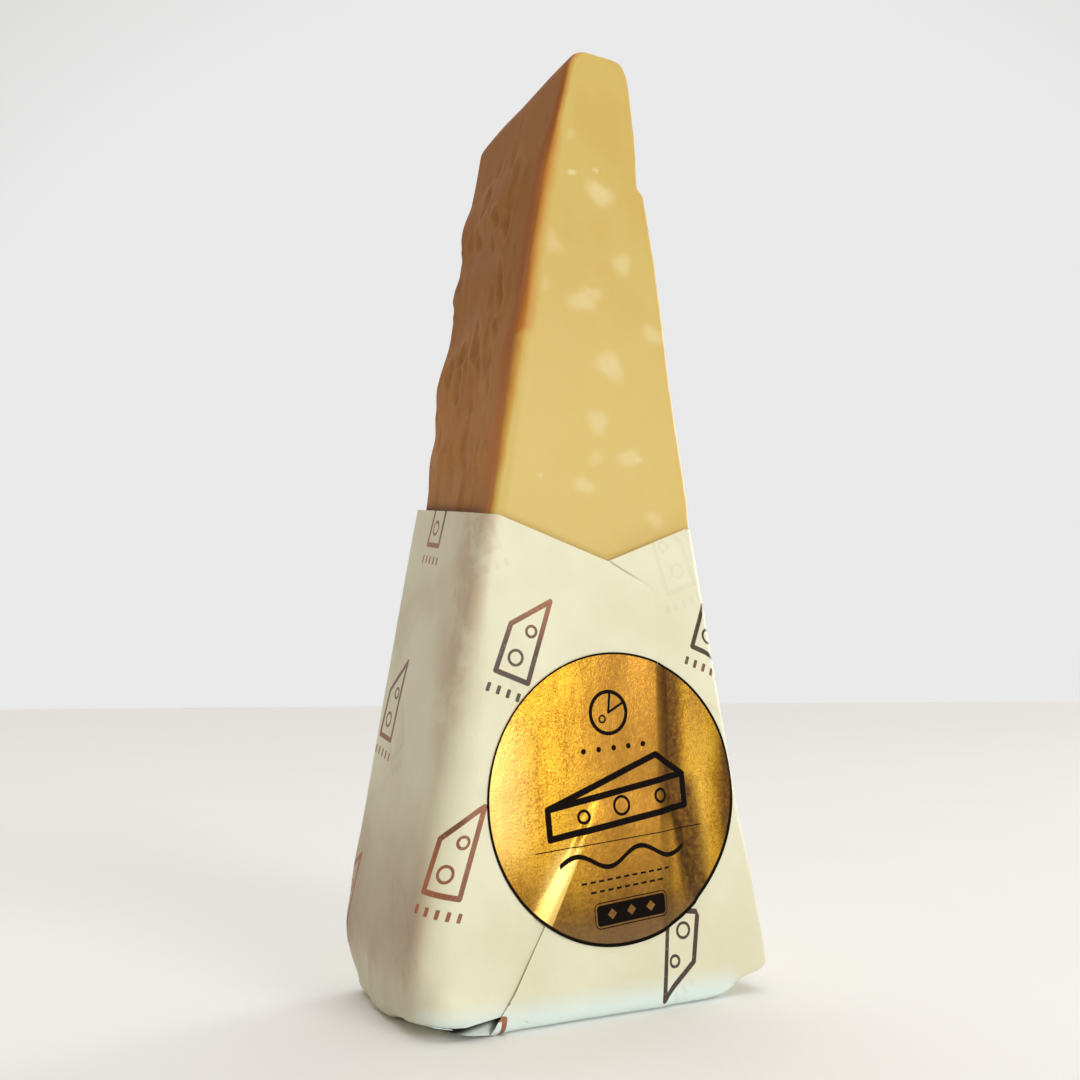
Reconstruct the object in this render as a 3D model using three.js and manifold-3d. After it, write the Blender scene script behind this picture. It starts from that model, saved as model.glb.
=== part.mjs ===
// A wedge of hard aged cheese, wrapped in paper from its heel to half its height and closed with
// a round foil seal. It stands on its heel with the tip up.
//
// Millimetres, +Z up. The origin is the middle of the base. The smooth cut face looks along -Y and
// the wheel's rind along -X, on the left. The back (+Y), the right side (+X) and the tip are broken.

import * as THREE from 'three';
import { mergeVertices } from 'three/addons/utils/BufferGeometryUtils.js';
import Module from 'manifold-3d';

const wasm = await Module();
wasm.setup();

// ---------------------------------------------------------------- driving dimensions

const CHEESE_DEPTH = 44; // cut face to the broken back
const CUT_FACE_Y = -21.15; // puts the middle of the whole depth at y = 0
const TIP_Z = 210; // top of the blunt tip, at the cut face
const TIP_DROP = 3.2; // how much lower the tip is at the back
const TIP_DROP_FROM_Z = 150; // height where that fall starts to show
const TIP_ROUND = 1.6; // round-over of the tip
const CHEESE_EDGE = 1.7; // radius of the upright edges
const CHEESE_SIDE_STEPS = 16; // facets across the rind and the right side, between rounded edges
const CHEESE_FRONT_STEPS = 7; // and across the cut face

// Each side is a line in the front view: half width at one height, and lean per mm.
const BEND_Z = 177; // the rind leans in more above this height
const LEFT_AT_BEND = 13;
const LEFT_LEAN = 0.169;
const LEFT_TIP_LEAN = 0.23;
const RIGHT_AT_BEND = 13.9;
const RIGHT_LEAN = 0.135;

// The rind turns a little from front to back: wider behind at the tip, narrower at the paper.
const TWIST_LOW = { z: 109, extra: -1.2 };
const TWIST_HIGH = { z: 201, extra: 2.2 };

// A flake is missing from the right front edge, just below the tip.
const CHIP = { low: 177.2, deep: 179.6, high: 193, depth: 1.5, reach: 15 };
// The corners of the tip round off over this height, by this much.
const TIP_CORNER = 5;
const TIP_CUT = { left: 2.4, right: 1.8 };

// Relief of both sides: ripples along the length, and broad uneven crags.
const RIPPLE = { across: 3.4, along: 12, height: 0.45 };
const CRAG = { across: 15, along: 15, height: 0.8 };
const STRAIGHT_FRONT = { reach: 5, share: 0.25 }; // the front edges take little of the relief
// Swellings of the rind along its back edge: height, half length, swell.
const LEFT_LUMPS = [
  { z: 182, reach: 9, swell: 1.3 },
  { z: 138, reach: 14, swell: 1.7 },
  { z: 120, reach: 8, swell: 0.6 },
];

// Paper: a cup round the lower half. Outer half widths, as for the sides of the cheese.
const WRAP_REF_Z = 92;
const WRAP_LEFT = 28.4;
const WRAP_RIGHT = 25.7;
const WRAP_LEAN_LEFT = 0.169;
const WRAP_LEAN_RIGHT = 0.172;
const WRAP_WALL = 0.7;
const WRAP_SIDE_STEPS = 6; // facets across each side between its rounded edges
const WRAP_FRONT_STEPS = 11; // and across the front
const FIT_GAP = 0.3; // clearance between neighbouring pieces
// Radii of the upright edges at the foot and at the top, and the heights where they change: the
// edges behind, the soft one on the left of the front and the crisp one on its right.
const BACK_EDGE = { foot: 5, top: 3, from: 0, to: 18 };
const LEFT_EDGE = { foot: 7.5, top: 3, from: 58, to: 92 };
const RIGHT_EDGE = { foot: 1.6, top: 3, from: 20, to: 40 };
const BASE_ROUND = 2; // radius where the sides turn under
// Below a height the sides tuck in.
const LEFT_TOE = { z: 18, cut: 3.9, power: 1.4 };
const RIGHT_TOE = { z: 14, cut: 1.0, power: 1.5 };

// The heel is flat where it rests and rises to its ends. On the left only the front corner rises,
// in a curve, where the paper is folded in.
const HEEL_FLAT = 22;
const HEEL_HALF = 40;
const LEFT_RISE = { height: 3.2, power: 2, fullY: -22, noneY: 4 };
const RIGHT_RISE = { height: 4.4, power: 1.5 };
const HEEL_FADE_Z = 20; // height over which the heel's shape fades out of the sides

// Heights of the rings: both pieces near the base, then the hidden and the bare cheese, then the
// paper as shares of its own height.
const FOOT_ROWS = [0, 0.15, 0.7, 2, 4, 7, 10, 14, 18, 22];
const HIDDEN_ROWS = [33, 46, 61, 76, 88];
const BARE_ROWS = { from: 92, below: 6, steps: 36 };
const TIP_ROWS = [4, 2.4, 1.2, 0.6, 0.12]; // down from the tip
const WRAP_ROWS = [0.32, 0.45, 0.6, 0.75, 0.9, 1];

// Mouth of the paper: level behind, falling along each side, and a V on the front.
const MOUTH_BACK_Z = 108.6;
const MOUTH_FRONT_Z = 100.2;
const MOUTH_V = { x: 1.1, z: 91.9 };

// The cheese stays within the paper's room until just above the mouth, then takes its own shape.
const CLEAR_ABOVE_MOUTH = { from: 3.2, to: 8.2 };

// Front layers, each one sheet proud of the last.
const LAYER = 0.5;
const PANEL = { root: -14, edge: 12.8, top: 83.6, foot: 1.4, corner: 3, rootProud: 0.04 };
const FLAP = { foot: 0.5, top: 41, left: [-25.2, -3.1], right: [30.1, 13.9] };

const SEAL = { x: 2.5, z: 43.1, radius: 29.6, thick: 0.4 };

// ---------------------------------------------------------------- small helpers

const clamp = (v, low, high) => Math.min(high, Math.max(low, v));
const mix = (a, b, t) => a + (b - a) * t;

function smooth(low, high, v) {
  const t = clamp((v - low) / (high - low), 0, 1);
  return t * t * (3 - 2 * t);
}

// A fixed pseudo-random value from -1 to 1 for each lattice point.
function lattice(i, j, seed) {
  const s = Math.sin(i * 127.1 + j * 311.7 + seed * 74.7) * 43758.5453;
  return 2 * (s - Math.floor(s)) - 1;
}

function noise(u, v, seed) {
  const i = Math.floor(u);
  const j = Math.floor(v);
  const a = smooth(0, 1, u - i);
  const b = smooth(0, 1, v - j);
  const low = mix(lattice(i, j, seed), lattice(i + 1, j, seed), a);
  const high = mix(lattice(i, j + 1, seed), lattice(i + 1, j + 1, seed), a);
  return mix(low, high, b);
}

function samples(from, to, steps) {
  return Array.from({ length: steps + 1 }, (_, i) => mix(from, to, i / steps));
}

// How far a rounded upright edge stands back from the face, at a distance d from the corner.
function edgeInset(d, radius) {
  if (d >= radius) return 0;
  return radius - Math.sqrt(radius * radius - (radius - d) ** 2);
}

// Sample depths across a side with both upright edges rounded, closest where the edges turn.
function sideDepths(front, back, frontRadius, backRadius, steps) {
  const nearFront = [0, 0.134, 0.5, 1].map((k) => front + k * frontRadius);
  const nearBack = [1, 0.5, 0.134, 0].map((k) => back - k * backRadius);
  const between = samples(front + frontRadius, back - backRadius, steps).slice(1, -1);
  return [...nearFront, ...between, ...nearBack];
}

// ---------------------------------------------------------------- outlines

const BACK_FACE_Y = CUT_FACE_Y + CHEESE_DEPTH;
const WRAP_OFFSET = WRAP_WALL + FIT_GAP;
const WRAP_FRONT_Y = CUT_FACE_Y - WRAP_OFFSET;
const WRAP_BACK_Y = BACK_FACE_Y + WRAP_OFFSET;

function heelZ(x, y) {
  const t = clamp((Math.abs(x) - HEEL_FLAT) / (HEEL_HALF - HEEL_FLAT), 0, 1.2);
  if (x > 0) return RIGHT_RISE.height * t ** RIGHT_RISE.power;
  const { height, power, fullY, noneY } = LEFT_RISE;
  return height * t ** power * (1 - smooth(fullY, noneY, y));
}

// How far the sides stand in where they turn under, at a height above the base.
function footInset(z) {
  const turn = clamp(1 - z / BASE_ROUND, 0, 1);
  return BASE_ROUND * (1 - Math.sqrt(1 - turn * turn));
}

function edgeRadius({ foot, top, from, to }, z) {
  return mix(foot, top, smooth(from, to, z));
}

// How far a side of the wrapped part stands in at its rounded upright edges. less is how much
// smaller the radii are than the paper's outer ones.
function uprightInset(side, toFront, toBack, z, less) {
  const front = edgeRadius(side < 0 ? LEFT_EDGE : RIGHT_EDGE, z) - less;
  const back = edgeRadius(BACK_EDGE, z) - less;
  return Math.max(edgeInset(toFront, front), edgeInset(toBack, back));
}

// Outer half width of the paper on one side (-1 left, 1 right).
function wrapHalf(side, z) {
  const [half, lean] = side < 0 ? [WRAP_LEFT, WRAP_LEAN_LEFT] : [WRAP_RIGHT, WRAP_LEAN_RIGHT];
  const toe = side < 0 ? LEFT_TOE : RIGHT_TOE;
  return half + lean * (WRAP_REF_Z - z) - toe.cut * clamp(1 - z / toe.z, 0, 1) ** toe.power;
}

// Height of the paper's mouth at any place round it.
function mouthZ(x, y) {
  const depth = clamp((y - WRAP_FRONT_Y) / (WRAP_BACK_Y - WRAP_FRONT_Y), 0, 1);
  const side = mix(MOUTH_FRONT_Z, MOUTH_BACK_Z, depth);
  if (depth > 0.02) return side;
  const edge = wrapHalf(Math.sign(x - MOUTH_V.x), MOUTH_FRONT_Z) - BACK_EDGE.top;
  const t = clamp(Math.abs(x - MOUTH_V.x) / (edge - Math.abs(MOUTH_V.x)), 0, 1);
  return mix(MOUTH_V.z, side, t);
}

function sideRelief(side, y, z) {
  const ripple = RIPPLE.height * noise(y / RIPPLE.across, z / RIPPLE.along, 3 + side);
  const crag = CRAG.height * noise(y / CRAG.across, z / CRAG.along, 7 + side);
  return ripple + crag;
}

function lumps(depth, z) {
  const at = (lump) => Math.max(0, 1 - ((z - lump.z) / lump.reach) ** 2) ** 2 * lump.swell;
  return depth * LEFT_LUMPS.reduce((sum, lump) => sum + at(lump), 0);
}

// Half width of the bare cheese on one side, before its upright edges are rounded.
function bareHalf(side, y, z) {
  const depth = (y - CUT_FACE_Y) / CHEESE_DEPTH;
  const corner = clamp((z - TIP_Z + TIP_CORNER) / TIP_CORNER, 0, 1) ** 2;
  let half;
  if (side < 0) {
    const lean = z > BEND_Z ? LEFT_TIP_LEAN : LEFT_LEAN;
    const twist = mix(TWIST_LOW.extra, TWIST_HIGH.extra,
      (z - TWIST_LOW.z) / (TWIST_HIGH.z - TWIST_LOW.z));
    half = LEFT_AT_BEND + lean * (BEND_Z - z) + twist * depth + lumps(depth, z);
    half -= TIP_CUT.left * corner;
  } else {
    const healed = clamp((CHIP.high - z) / (CHIP.high - CHIP.deep), 0, 1);
    const scar = smooth(CHIP.low, CHIP.deep, z) * healed;
    half = RIGHT_AT_BEND + RIGHT_LEAN * (BEND_Z - z);
    half -= CHIP.depth * scar * clamp(1 - (y - CUT_FACE_Y) / CHIP.reach, 0, 1);
    half -= TIP_CUT.right * corner;
  }
  const { reach, share } = STRAIGHT_FRONT;
  return half + sideRelief(side, y, z) * mix(share, 1, smooth(0, reach, y - CUT_FACE_Y));
}

// Half width of the cheese, kept inside the paper up to just above its mouth.
function cheeseHalf(side, y, z) {
  const bare = bareHalf(side, y, z);
  const room = wrapHalf(side, z) - WRAP_OFFSET;
  const { from, to } = CLEAR_ABOVE_MOUTH;
  return mix(Math.min(bare, room), bare, smooth(from, to, z - mouthZ(side * HEEL_HALF, y)));
}

// ---------------------------------------------------------------- rings to solids

// One closed ring: the front from left to right, the right side back, the back from right to
// left and the left side forward. xAt(side, y) gives a side's x.
function ringPoints(depths, fractions, xAt) {
  const front = depths[0];
  const back = depths[depths.length - 1];
  const points = [];
  const across = (y, k) => mix(xAt(-1, y), xAt(1, y), k);
  fractions.forEach((k) => points.push([across(front, k), front]));
  depths.slice(1, -1).forEach((y) => points.push([xAt(1, y), y]));
  [...fractions].reverse().forEach((k) => points.push([across(back, k), back]));
  depths.slice(1, -1).reverse().forEach((y) => points.push([xAt(-1, y), y]));
  return points;
}

// Triangles of a flat-ended cap over one ring, in strips from front to back.
function capTriangles(first, columns, sideCount, up) {
  const ring = 2 * columns + 2 * sideCount;
  const at = (k) => first + (k % ring);
  const faces = [];
  const add = (a, b, c) => faces.push(up ? [at(a), at(b), at(c)] : [at(a), at(c), at(b)]);
  const backFirst = columns + sideCount;
  for (let k = 0; k < columns - 1; k += 1) {
    const behind = backFirst + columns - 1 - k;
    add(k, k + 1, behind - 1);
    add(k, behind - 1, behind);
  }
  for (let k = columns - 1; k < backFirst - 1; k += 1) add(backFirst, k, k + 1);
  for (let k = backFirst + columns - 1; k < ring - 1; k += 1) add(0, k, k + 1);
  return faces;
}

function wallTriangles(below, above, count, outward) {
  const faces = [];
  for (let k = 0; k < count; k += 1) {
    const n = (k + 1) % count;
    const quad = [[below + k, below + n, above + n], [below + k, above + n, above + k]];
    quad.forEach(([a, b, c]) => faces.push(outward ? [a, b, c] : [a, c, b]));
  }
  return faces;
}

function geometryFrom(vertices, faces) {
  const geometry = new THREE.BufferGeometry();
  geometry.setAttribute('position', new THREE.Float32BufferAttribute(vertices.flat(), 3));
  geometry.setIndex(faces.flat());
  return geometry;
}

// ---------------------------------------------------------------- cheese

function cheeseGeometry() {
  const fractions = samples(0, 1, CHEESE_FRONT_STEPS);
  const sideCount = sideDepths(0, 1, 0, 0, CHEESE_SIDE_STEPS).length - 2;
  const foot = WRAP_OFFSET;
  const heights = [
    ...FOOT_ROWS.map((z) => foot + z),
    ...HIDDEN_ROWS,
    ...samples(BARE_ROWS.from, TIP_Z - BARE_ROWS.below, BARE_ROWS.steps),
    ...TIP_ROWS.map((down) => TIP_Z - down),
  ];
  const vertices = [];
  heights.forEach((level) => {
    const high = clamp((level - TIP_Z + TIP_ROUND) / TIP_ROUND, 0, 1);
    const inset = footInset(level - foot) + TIP_ROUND * (1 - Math.sqrt(1 - high * high));
    const wrapped = 1 - smooth(MOUTH_V.z, MOUTH_BACK_Z + CLEAR_ABOVE_MOUTH.from, level);
    const [nearFront, nearBack] = [LEFT_EDGE, BACK_EDGE].map(
      (edge) => mix(CHEESE_EDGE, edgeRadius(edge, level - foot) - WRAP_OFFSET, wrapped));
    const depths = sideDepths(CUT_FACE_Y, BACK_FACE_Y, nearFront, nearBack, CHEESE_SIDE_STEPS);
    const xAt = (side, y) => {
      const toFront = y - CUT_FACE_Y;
      const toBack = BACK_FACE_Y - y;
      const bare = edgeInset(Math.min(toFront, toBack), CHEESE_EDGE);
      const hidden = uprightInset(side, toFront, toBack, level - foot, WRAP_OFFSET);
      return side * (cheeseHalf(side, y, level) - mix(bare, hidden, wrapped) - inset);
    };
    ringPoints(depths, fractions, xAt).forEach(([x, y]) => {
      const towardsMiddle = (y - (CUT_FACE_Y + BACK_FACE_Y) / 2) / (CHEESE_DEPTH / 2);
      const back = (y - CUT_FACE_Y) / CHEESE_DEPTH;
      const drop = TIP_DROP * back * back * smooth(TIP_DROP_FROM_Z, TIP_Z, level);
      const rise = heelZ(x, y) * (1 - smooth(0, HEEL_FADE_Z, level - foot));
      vertices.push([x, y - towardsMiddle * inset, level - drop + rise]);
    });
  });
  const ring = 2 * fractions.length + 2 * sideCount;
  const faces = capTriangles(0, fractions.length, sideCount, false);
  for (let k = 0; k < heights.length - 1; k += 1) {
    faces.push(...wallTriangles(k * ring, (k + 1) * ring, ring, true));
  }
  faces.push(...capTriangles((heights.length - 1) * ring, fractions.length, sideCount, true));
  return geometryFrom(vertices, faces);
}

// ---------------------------------------------------------------- paper

// Rings of one skin of the paper, from the base up to the mouth, one for each share of its height.
function wrapSkin(offset, fractions, rows) {
  const front = WRAP_FRONT_Y + offset;
  const back = WRAP_BACK_Y - offset;
  const depthOf = (y) => (y - front) / (back - front);
  const vertices = [];
  rows.forEach((t) => {
    const level = t * MOUTH_FRONT_Z;
    const [nearFront, nearBack] = [LEFT_EDGE, BACK_EDGE].map((edge) => edgeRadius(edge, level) - offset);
    const depths = sideDepths(front, back, nearFront, nearBack, WRAP_SIDE_STEPS);
    const inset = footInset(level);
    const rimAt = (x, y) => mouthZ(x, mix(WRAP_FRONT_Y, WRAP_BACK_Y, depthOf(y)));
    const xAt = (side, y) => {
      const half = wrapHalf(side, t * rimAt(side * HEEL_HALF, y)) - offset;
      return side * (half - uprightInset(side, y - front, back - y, level, offset) - inset);
    };
    ringPoints(depths, fractions, xAt).forEach(([x, y]) => {
      const foot = offset + heelZ(x, y) * (1 - smooth(0, HEEL_FADE_Z, level));
      const z = t * rimAt(x, y) + foot * (1 - t);
      vertices.push([x, y - (2 * depthOf(y) - 1) * inset, z]);
    });
  });
  return vertices;
}

function wrapCup() {
  const columns = samples(0, 1, WRAP_FRONT_STEPS);
  const rows = [...FOOT_ROWS.map((z) => z / MOUTH_FRONT_Z), ...WRAP_ROWS];
  const outer = wrapSkin(0, columns, rows);
  const inner = wrapSkin(WRAP_WALL, columns, rows);
  const ring = outer.length / rows.length;
  const sideCount = ring / 2 - columns.length;
  const last = (rows.length - 1) * ring;
  const faces = capTriangles(0, columns.length, sideCount, false);
  faces.push(...capTriangles(outer.length, columns.length, sideCount, true));
  for (let k = 0; k < rows.length - 1; k += 1) {
    faces.push(...wallTriangles(k * ring, (k + 1) * ring, ring, true));
    faces.push(...wallTriangles(outer.length + k * ring, outer.length + (k + 1) * ring, ring, false));
  }
  faces.push(...wallTriangles(last, outer.length + last, ring, true));
  return geometryFrom([...outer, ...inner], faces);
}

// A sheet on the front: an outline in x and z, extruded towards -Y from inside the cup's wall.
function frontSheet(outline, proudAt) {
  const shape = new THREE.Shape(outline.map(([x, z]) => new THREE.Vector2(x, z)));
  const sheet = new THREE.ExtrudeGeometry(shape, { depth: 1, bevelEnabled: false });
  sheet.rotateX(Math.PI / 2);
  const position = sheet.getAttribute('position');
  for (let i = 0; i < position.count; i += 1) {
    const outerSide = position.getY(i) < -0.5;
    const proud = outerSide ? proudAt(position.getX(i), position.getZ(i)) : -0.5 * WRAP_WALL;
    position.setY(i, WRAP_FRONT_Y - proud);
  }
  return sheet;
}

// The left panel lies over the right one. It lifts off gently and ends in a free upright edge.
function panelSheet() {
  const { root, edge, top, foot, corner, rootProud } = PANEL;
  const slope = (mouthZ(root, WRAP_FRONT_Y) - MOUTH_V.z) / (MOUTH_V.x - root);
  const seamZ = (x) => MOUTH_V.z - slope * (x - MOUTH_V.x);
  const turns = samples(0, Math.PI / 2, 4);
  const high = seamZ(edge - corner);
  const arc = turns.map((a) => [edge - corner * (1 - Math.cos(a)), mix(top, high, Math.sin(a))]);
  const outline = [[root, foot], [edge, foot], ...arc, [MOUTH_V.x, MOUTH_V.z], [root, seamZ(root)]];
  return frontSheet(outline, (x) => mix(rootProud, LAYER, clamp((x - root) / (edge - root), 0, 1)));
}

// The bottom flap comes up from under the heel and narrows to its end under the seal.
function flapSheet() {
  const { foot, top, left, right } = FLAP;
  const hemZ = (x) => foot + 0.5 * BASE_ROUND + heelZ(x, WRAP_FRONT_Y);
  const hem = samples(left[0], right[0], 6).map((x) => [x, hemZ(x)]);
  const outline = [...hem, [right[1], top], [left[1], top]];
  return frontSheet(outline, () => 2 * LAYER);
}

function toSolid(geometry) {
  const bare = geometry.clone();
  Object.keys(bare.attributes).filter((name) => name !== 'position')
    .forEach((name) => bare.deleteAttribute(name));
  const merged = mergeVertices(bare, 1e-4);
  return new wasm.Manifold(new wasm.Mesh({
    numProp: 3,
    vertProperties: new Float32Array(merged.getAttribute('position').array),
    triVerts: new Uint32Array(merged.index.array),
  }));
}

function fromSolid(solid) {
  const mesh = solid.getMesh();
  const geometry = new THREE.BufferGeometry();
  geometry.setAttribute('position', new THREE.BufferAttribute(mesh.vertProperties, 3));
  geometry.setIndex(new THREE.BufferAttribute(mesh.triVerts, 1));
  return geometry;
}

function wrapGeometry() {
  const whole = toSolid(wrapCup()).add(toSolid(panelSheet())).add(toSolid(flapSheet()));
  return fromSolid(whole);
}

// ---------------------------------------------------------------- seal

function sealGeometry() {
  const { x, z, radius, thick } = SEAL;
  const disc = new THREE.CylinderGeometry(radius, radius, thick, 96, 1);
  disc.translate(x, WRAP_FRONT_Y - 2 * LAYER - FIT_GAP - thick / 2, z);
  return disc;
}

// ---------------------------------------------------------------- the whole object

function piece(name, geometry, color, roughness, metalness) {
  geometry.computeVertexNormals();
  const material = new THREE.MeshStandardMaterial({ color, roughness, metalness });
  const mesh = new THREE.Mesh(geometry, material);
  mesh.name = name;
  return mesh;
}

const group = new THREE.Group();
group.add(piece('cheese_wedge', cheeseGeometry(), 0xdebe73, 0.5, 0));
group.add(piece('paper_wrap', wrapGeometry(), 0xecead0, 0.6, 0));
group.add(piece('gold_label', sealGeometry(), 0xd9a441, 0.35, 0.8));

export default group;
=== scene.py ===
"""A wedge of hard aged cheese in its paper wrap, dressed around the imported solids.

Sizes in the code are millimetres in the frame of the solids: +Z up, the cut face towards -Y and
the rind face towards -X. build_mesh turns them into Blender's metres.
"""

import math

import bpy
import numpy as np
from mathutils import Matrix, Vector


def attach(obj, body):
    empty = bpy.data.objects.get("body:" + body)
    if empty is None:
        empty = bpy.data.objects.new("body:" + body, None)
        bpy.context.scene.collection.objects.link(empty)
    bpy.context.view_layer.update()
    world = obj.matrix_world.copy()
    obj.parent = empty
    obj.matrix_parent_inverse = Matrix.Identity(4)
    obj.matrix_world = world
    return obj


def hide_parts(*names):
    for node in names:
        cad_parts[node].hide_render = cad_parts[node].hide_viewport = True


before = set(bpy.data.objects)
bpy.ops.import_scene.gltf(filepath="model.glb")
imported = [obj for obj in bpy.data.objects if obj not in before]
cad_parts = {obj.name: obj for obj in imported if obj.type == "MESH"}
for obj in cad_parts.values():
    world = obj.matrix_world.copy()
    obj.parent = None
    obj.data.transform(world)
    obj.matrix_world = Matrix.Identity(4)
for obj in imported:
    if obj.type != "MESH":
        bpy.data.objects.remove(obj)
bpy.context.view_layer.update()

MM = 0.001

# ---- sizes of the cheese

CHEESE_DEPTH = 44.0  # cut face to the face behind it
CUT_Y = -21.15
BACK_Y = CUT_Y + CHEESE_DEPTH
TIP_Z = 210.0
TIP_DROP = 3.2  # how much lower the tip is at the back
TIP_DROP_FROM_Z = 150.0
TIP_ROUND = 1.6
CHEESE_EDGE = 1.7

BEND_Z = 177.0
LEFT_AT_BEND, LEFT_LEAN, LEFT_TIP_LEAN = 13.0, 0.169, 0.23
RIGHT_AT_BEND, RIGHT_LEAN = 13.9, 0.135
TWIST_LOW_Z, TWIST_LOW = 109.0, -1.2
TWIST_HIGH_Z, TWIST_HIGH = 201.0, 2.2
CHIP_LOW, CHIP_DEEP, CHIP_HIGH, CHIP_DEPTH, CHIP_REACH = 177.2, 179.6, 193.0, 1.5, 15.0
TIP_CORNER = 5.0  # height of the tip's two cut corners
TIP_CUTS = {-1: 2.4, 1: 1.8}  # how far they are cut, left and right

RIPPLE_ACROSS, RIPPLE_ALONG, RIPPLE_HEIGHT = 3.4, 12.0, 0.45
RIND_RIPPLE = 0.22  # share of the ripple that the rind has
RIND_CALM, RIND_CALM_Z = 0.6, (176, 190)  # towards the tip it loses this share of its relief
CRAG_ACROSS, CRAG_ALONG, CRAG_HEIGHT = 15.0, 15.0, 0.8
STRAIGHT_FRONT_REACH, STRAIGHT_FRONT_SHARE = 5.0, 0.25
# Swellings of the rind along its back edge: height, half length, swell.
LEFT_LUMPS = ((182.0, 9.0, 1.3), (163.0, 7.0, 0.9), (138.0, 14.0, 1.7), (120.0, 8.0, 0.6))

# From here on, finer relief than the solids carry.
# Dents pressed into the rind: y, height, half width, half length, share of the full depth.
DENTS = (
    (9.3, 184.0, 2.6, 4.2, 1.0), (-6.8, 185.0, 2.9, 5.0, 0.8), (0.9, 176.5, 1.7, 3.0, 1.0),
    (-4.5, 172.3, 2.2, 3.8, 1.0), (11.0, 175.0, 2.3, 4.6, 0.8), (-6.7, 156.0, 1.5, 7.4, 0.9),
    (0.7, 143.4, 2.8, 4.8, 1.0), (9.2, 144.0, 2.5, 4.4, 1.0), (8.7, 138.4, 1.8, 3.6, 0.7),
    (-6.2, 137.6, 2.4, 3.8, 0.7), (-7.7, 144.6, 1.6, 2.8, 0.7), (14.8, 140.5, 2.0, 4.8, 0.8),
    (0.3, 120.9, 3.4, 5.2, 0.5), (1.2, 168.6, 1.8, 3.2, 0.5), (6.2, 192.6, 2.0, 3.0, 0.5),
    (21.0, 133.0, 1.8, 4.0, 0.5), (17.0, 165.0, 2.2, 5.0, 0.5),
)
DENT_CELL = (5.4, 10.5)  # depth and height of a cell of the rind that may hold one faint dent more
DENT_HALF = (1.7, 3.8)  # half width and half length of such a dent
FAINT = 0.45
DENT_DEPTH = 0.6
DENT_LEAN = 0.25  # upwards the dents lean back by this
DENT_RIM = 0.25  # the rind stands up round a dent, as a share of its depth
DENT_WARP = 1.1  # their outlines are uneven by this
DENT_FROM_Y, DENT_FROM_Z, DENT_TO_Z = (-14, -8), (98, 112), (199, 190)  # where they fade in and out
BREAK_GRAINS = ((7.0, 0.55), (2.8, 0.28), (1.2, 0.10))  # grain size and height of the broken face
BREAK_SINK_RIGHT, BREAK_SINK_BACK = 0.2, 0.1  # the broken faces start this far in
BACK_CRAG, BACK_RELIEF = 0.6, 1.1  # the break behind is flatter, and its grains are a little rougher
CROWN_RELIEF = 0.7  # the grains of the tip's end are lower
FACE_WAVE = 0.06  # the cut face is flat to this
CRYSTAL_HEIGHT = 0.10
FACE_EDGE = 3  # relief dies out this close to the edges of a face

# Pale crystals on the cut face: x, height, radius, strength.
CRYSTALS = (
    (-7.3, 187.8, 2.0, 0.5), (-5.9, 179.1, 0.9, 1.1), (0.3, 181.0, 0.7, 1.0), (1.3, 175.5, 3.3, 0.8),
    (-11.3, 161.8, 2.8, 0.45), (6.8, 159.9, 2.7, 0.65), (-14.1, 151.5, 2.6, 0.4), (-3.5, 149.5, 3.1, 0.7),
    (-0.9, 151.6, 2.1, 0.6), (14.6, 144.5, 2.6, 0.7), (3.1, 135.6, 3.5, 0.8), (-0.2, 122.5, 2.8, 0.7),
    (-0.8, 114.4, 1.8, 0.45), (7.6, 115.3, 2.4, 0.7), (9.9, 115.1, 0.9, 1.0), (-3.9, 108.2, 2.3, 0.7),
    (14.0, 101.9, 2.2, 0.6), (-14.5, 109.5, 0.6, 0.8), (-5.6, 206.6, 0.6, 0.9),
)
CRYSTAL_SPREAD = 1.25  # a crystal is wider than high
# The rind's brown doesn't end straight along the cut face: height, how far it stays back there.
RIND_EDGE = (
    (104.0, 0.35), (112.0, 0.4), (126.0, 0.55), (134.0, 0.6), (139.5, 0.8), (141.5, -0.5), (149.0, -0.3),
    (158.0, 0.3), (175.0, 0.0),
)

# Seeds of the fixed noises and grains of the cheese.
RIPPLE_SEED, CRAG_SEED, BACK_CRAG_SEED, FACE_SEED = 3, 7, 9, 31
DENT_PLACE_SEEDS, DENT_LENGTH_SEED, DENT_STRENGTH_SEED, DENT_WARP_SEEDS = (11, 12), 13, 14, (21, 22)
RIGHT_BREAK, BACK_BREAK, CROWN_BREAK = 40, 60, 80

# ---- sizes of the paper

WRAP_REF_Z = 92.0
WRAP_RIGHT, WRAP_LEAN_LEFT = 25.7, 0.169
# Left and right side: half width at that height, lean, and the height, depth and power of the cut
# that draws it in near the foot.
WRAP_SIDES = {-1: (28.4, WRAP_LEAN_LEFT, 18.0, 3.9, 1.4), 1: (WRAP_RIGHT, 0.172, 14.0, 1.0, 1.5)}
WRAP_EDGE_FOOT, WRAP_EDGE_TOP, WRAP_EDGE_Z = 5.0, 3.0, 18.0
# The front's upright edges, left and right: radius at the foot, and where it changes to that at the
# mouth. The left panel turns softly, and the right edge is crisp.
TURNS = {-1: (7.5, (58.0, 92.0)), 1: (1.6, (20.0, 40.0))}
TURN_TOP = 3.0
BASE_ROUND = 2.0
# The rear left corner is folded in further: by how much, up to what height, over what depth.
FOLD_CUT, FOLD_Z, FOLD_Y, FOLD_POWER = 1.9, 15.0, (2.0, 20.0), 1.5
HEEL_FLAT, HEEL_HALF = 22.0, 40.0
HEEL_RISE_LEFT = 3.2
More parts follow.
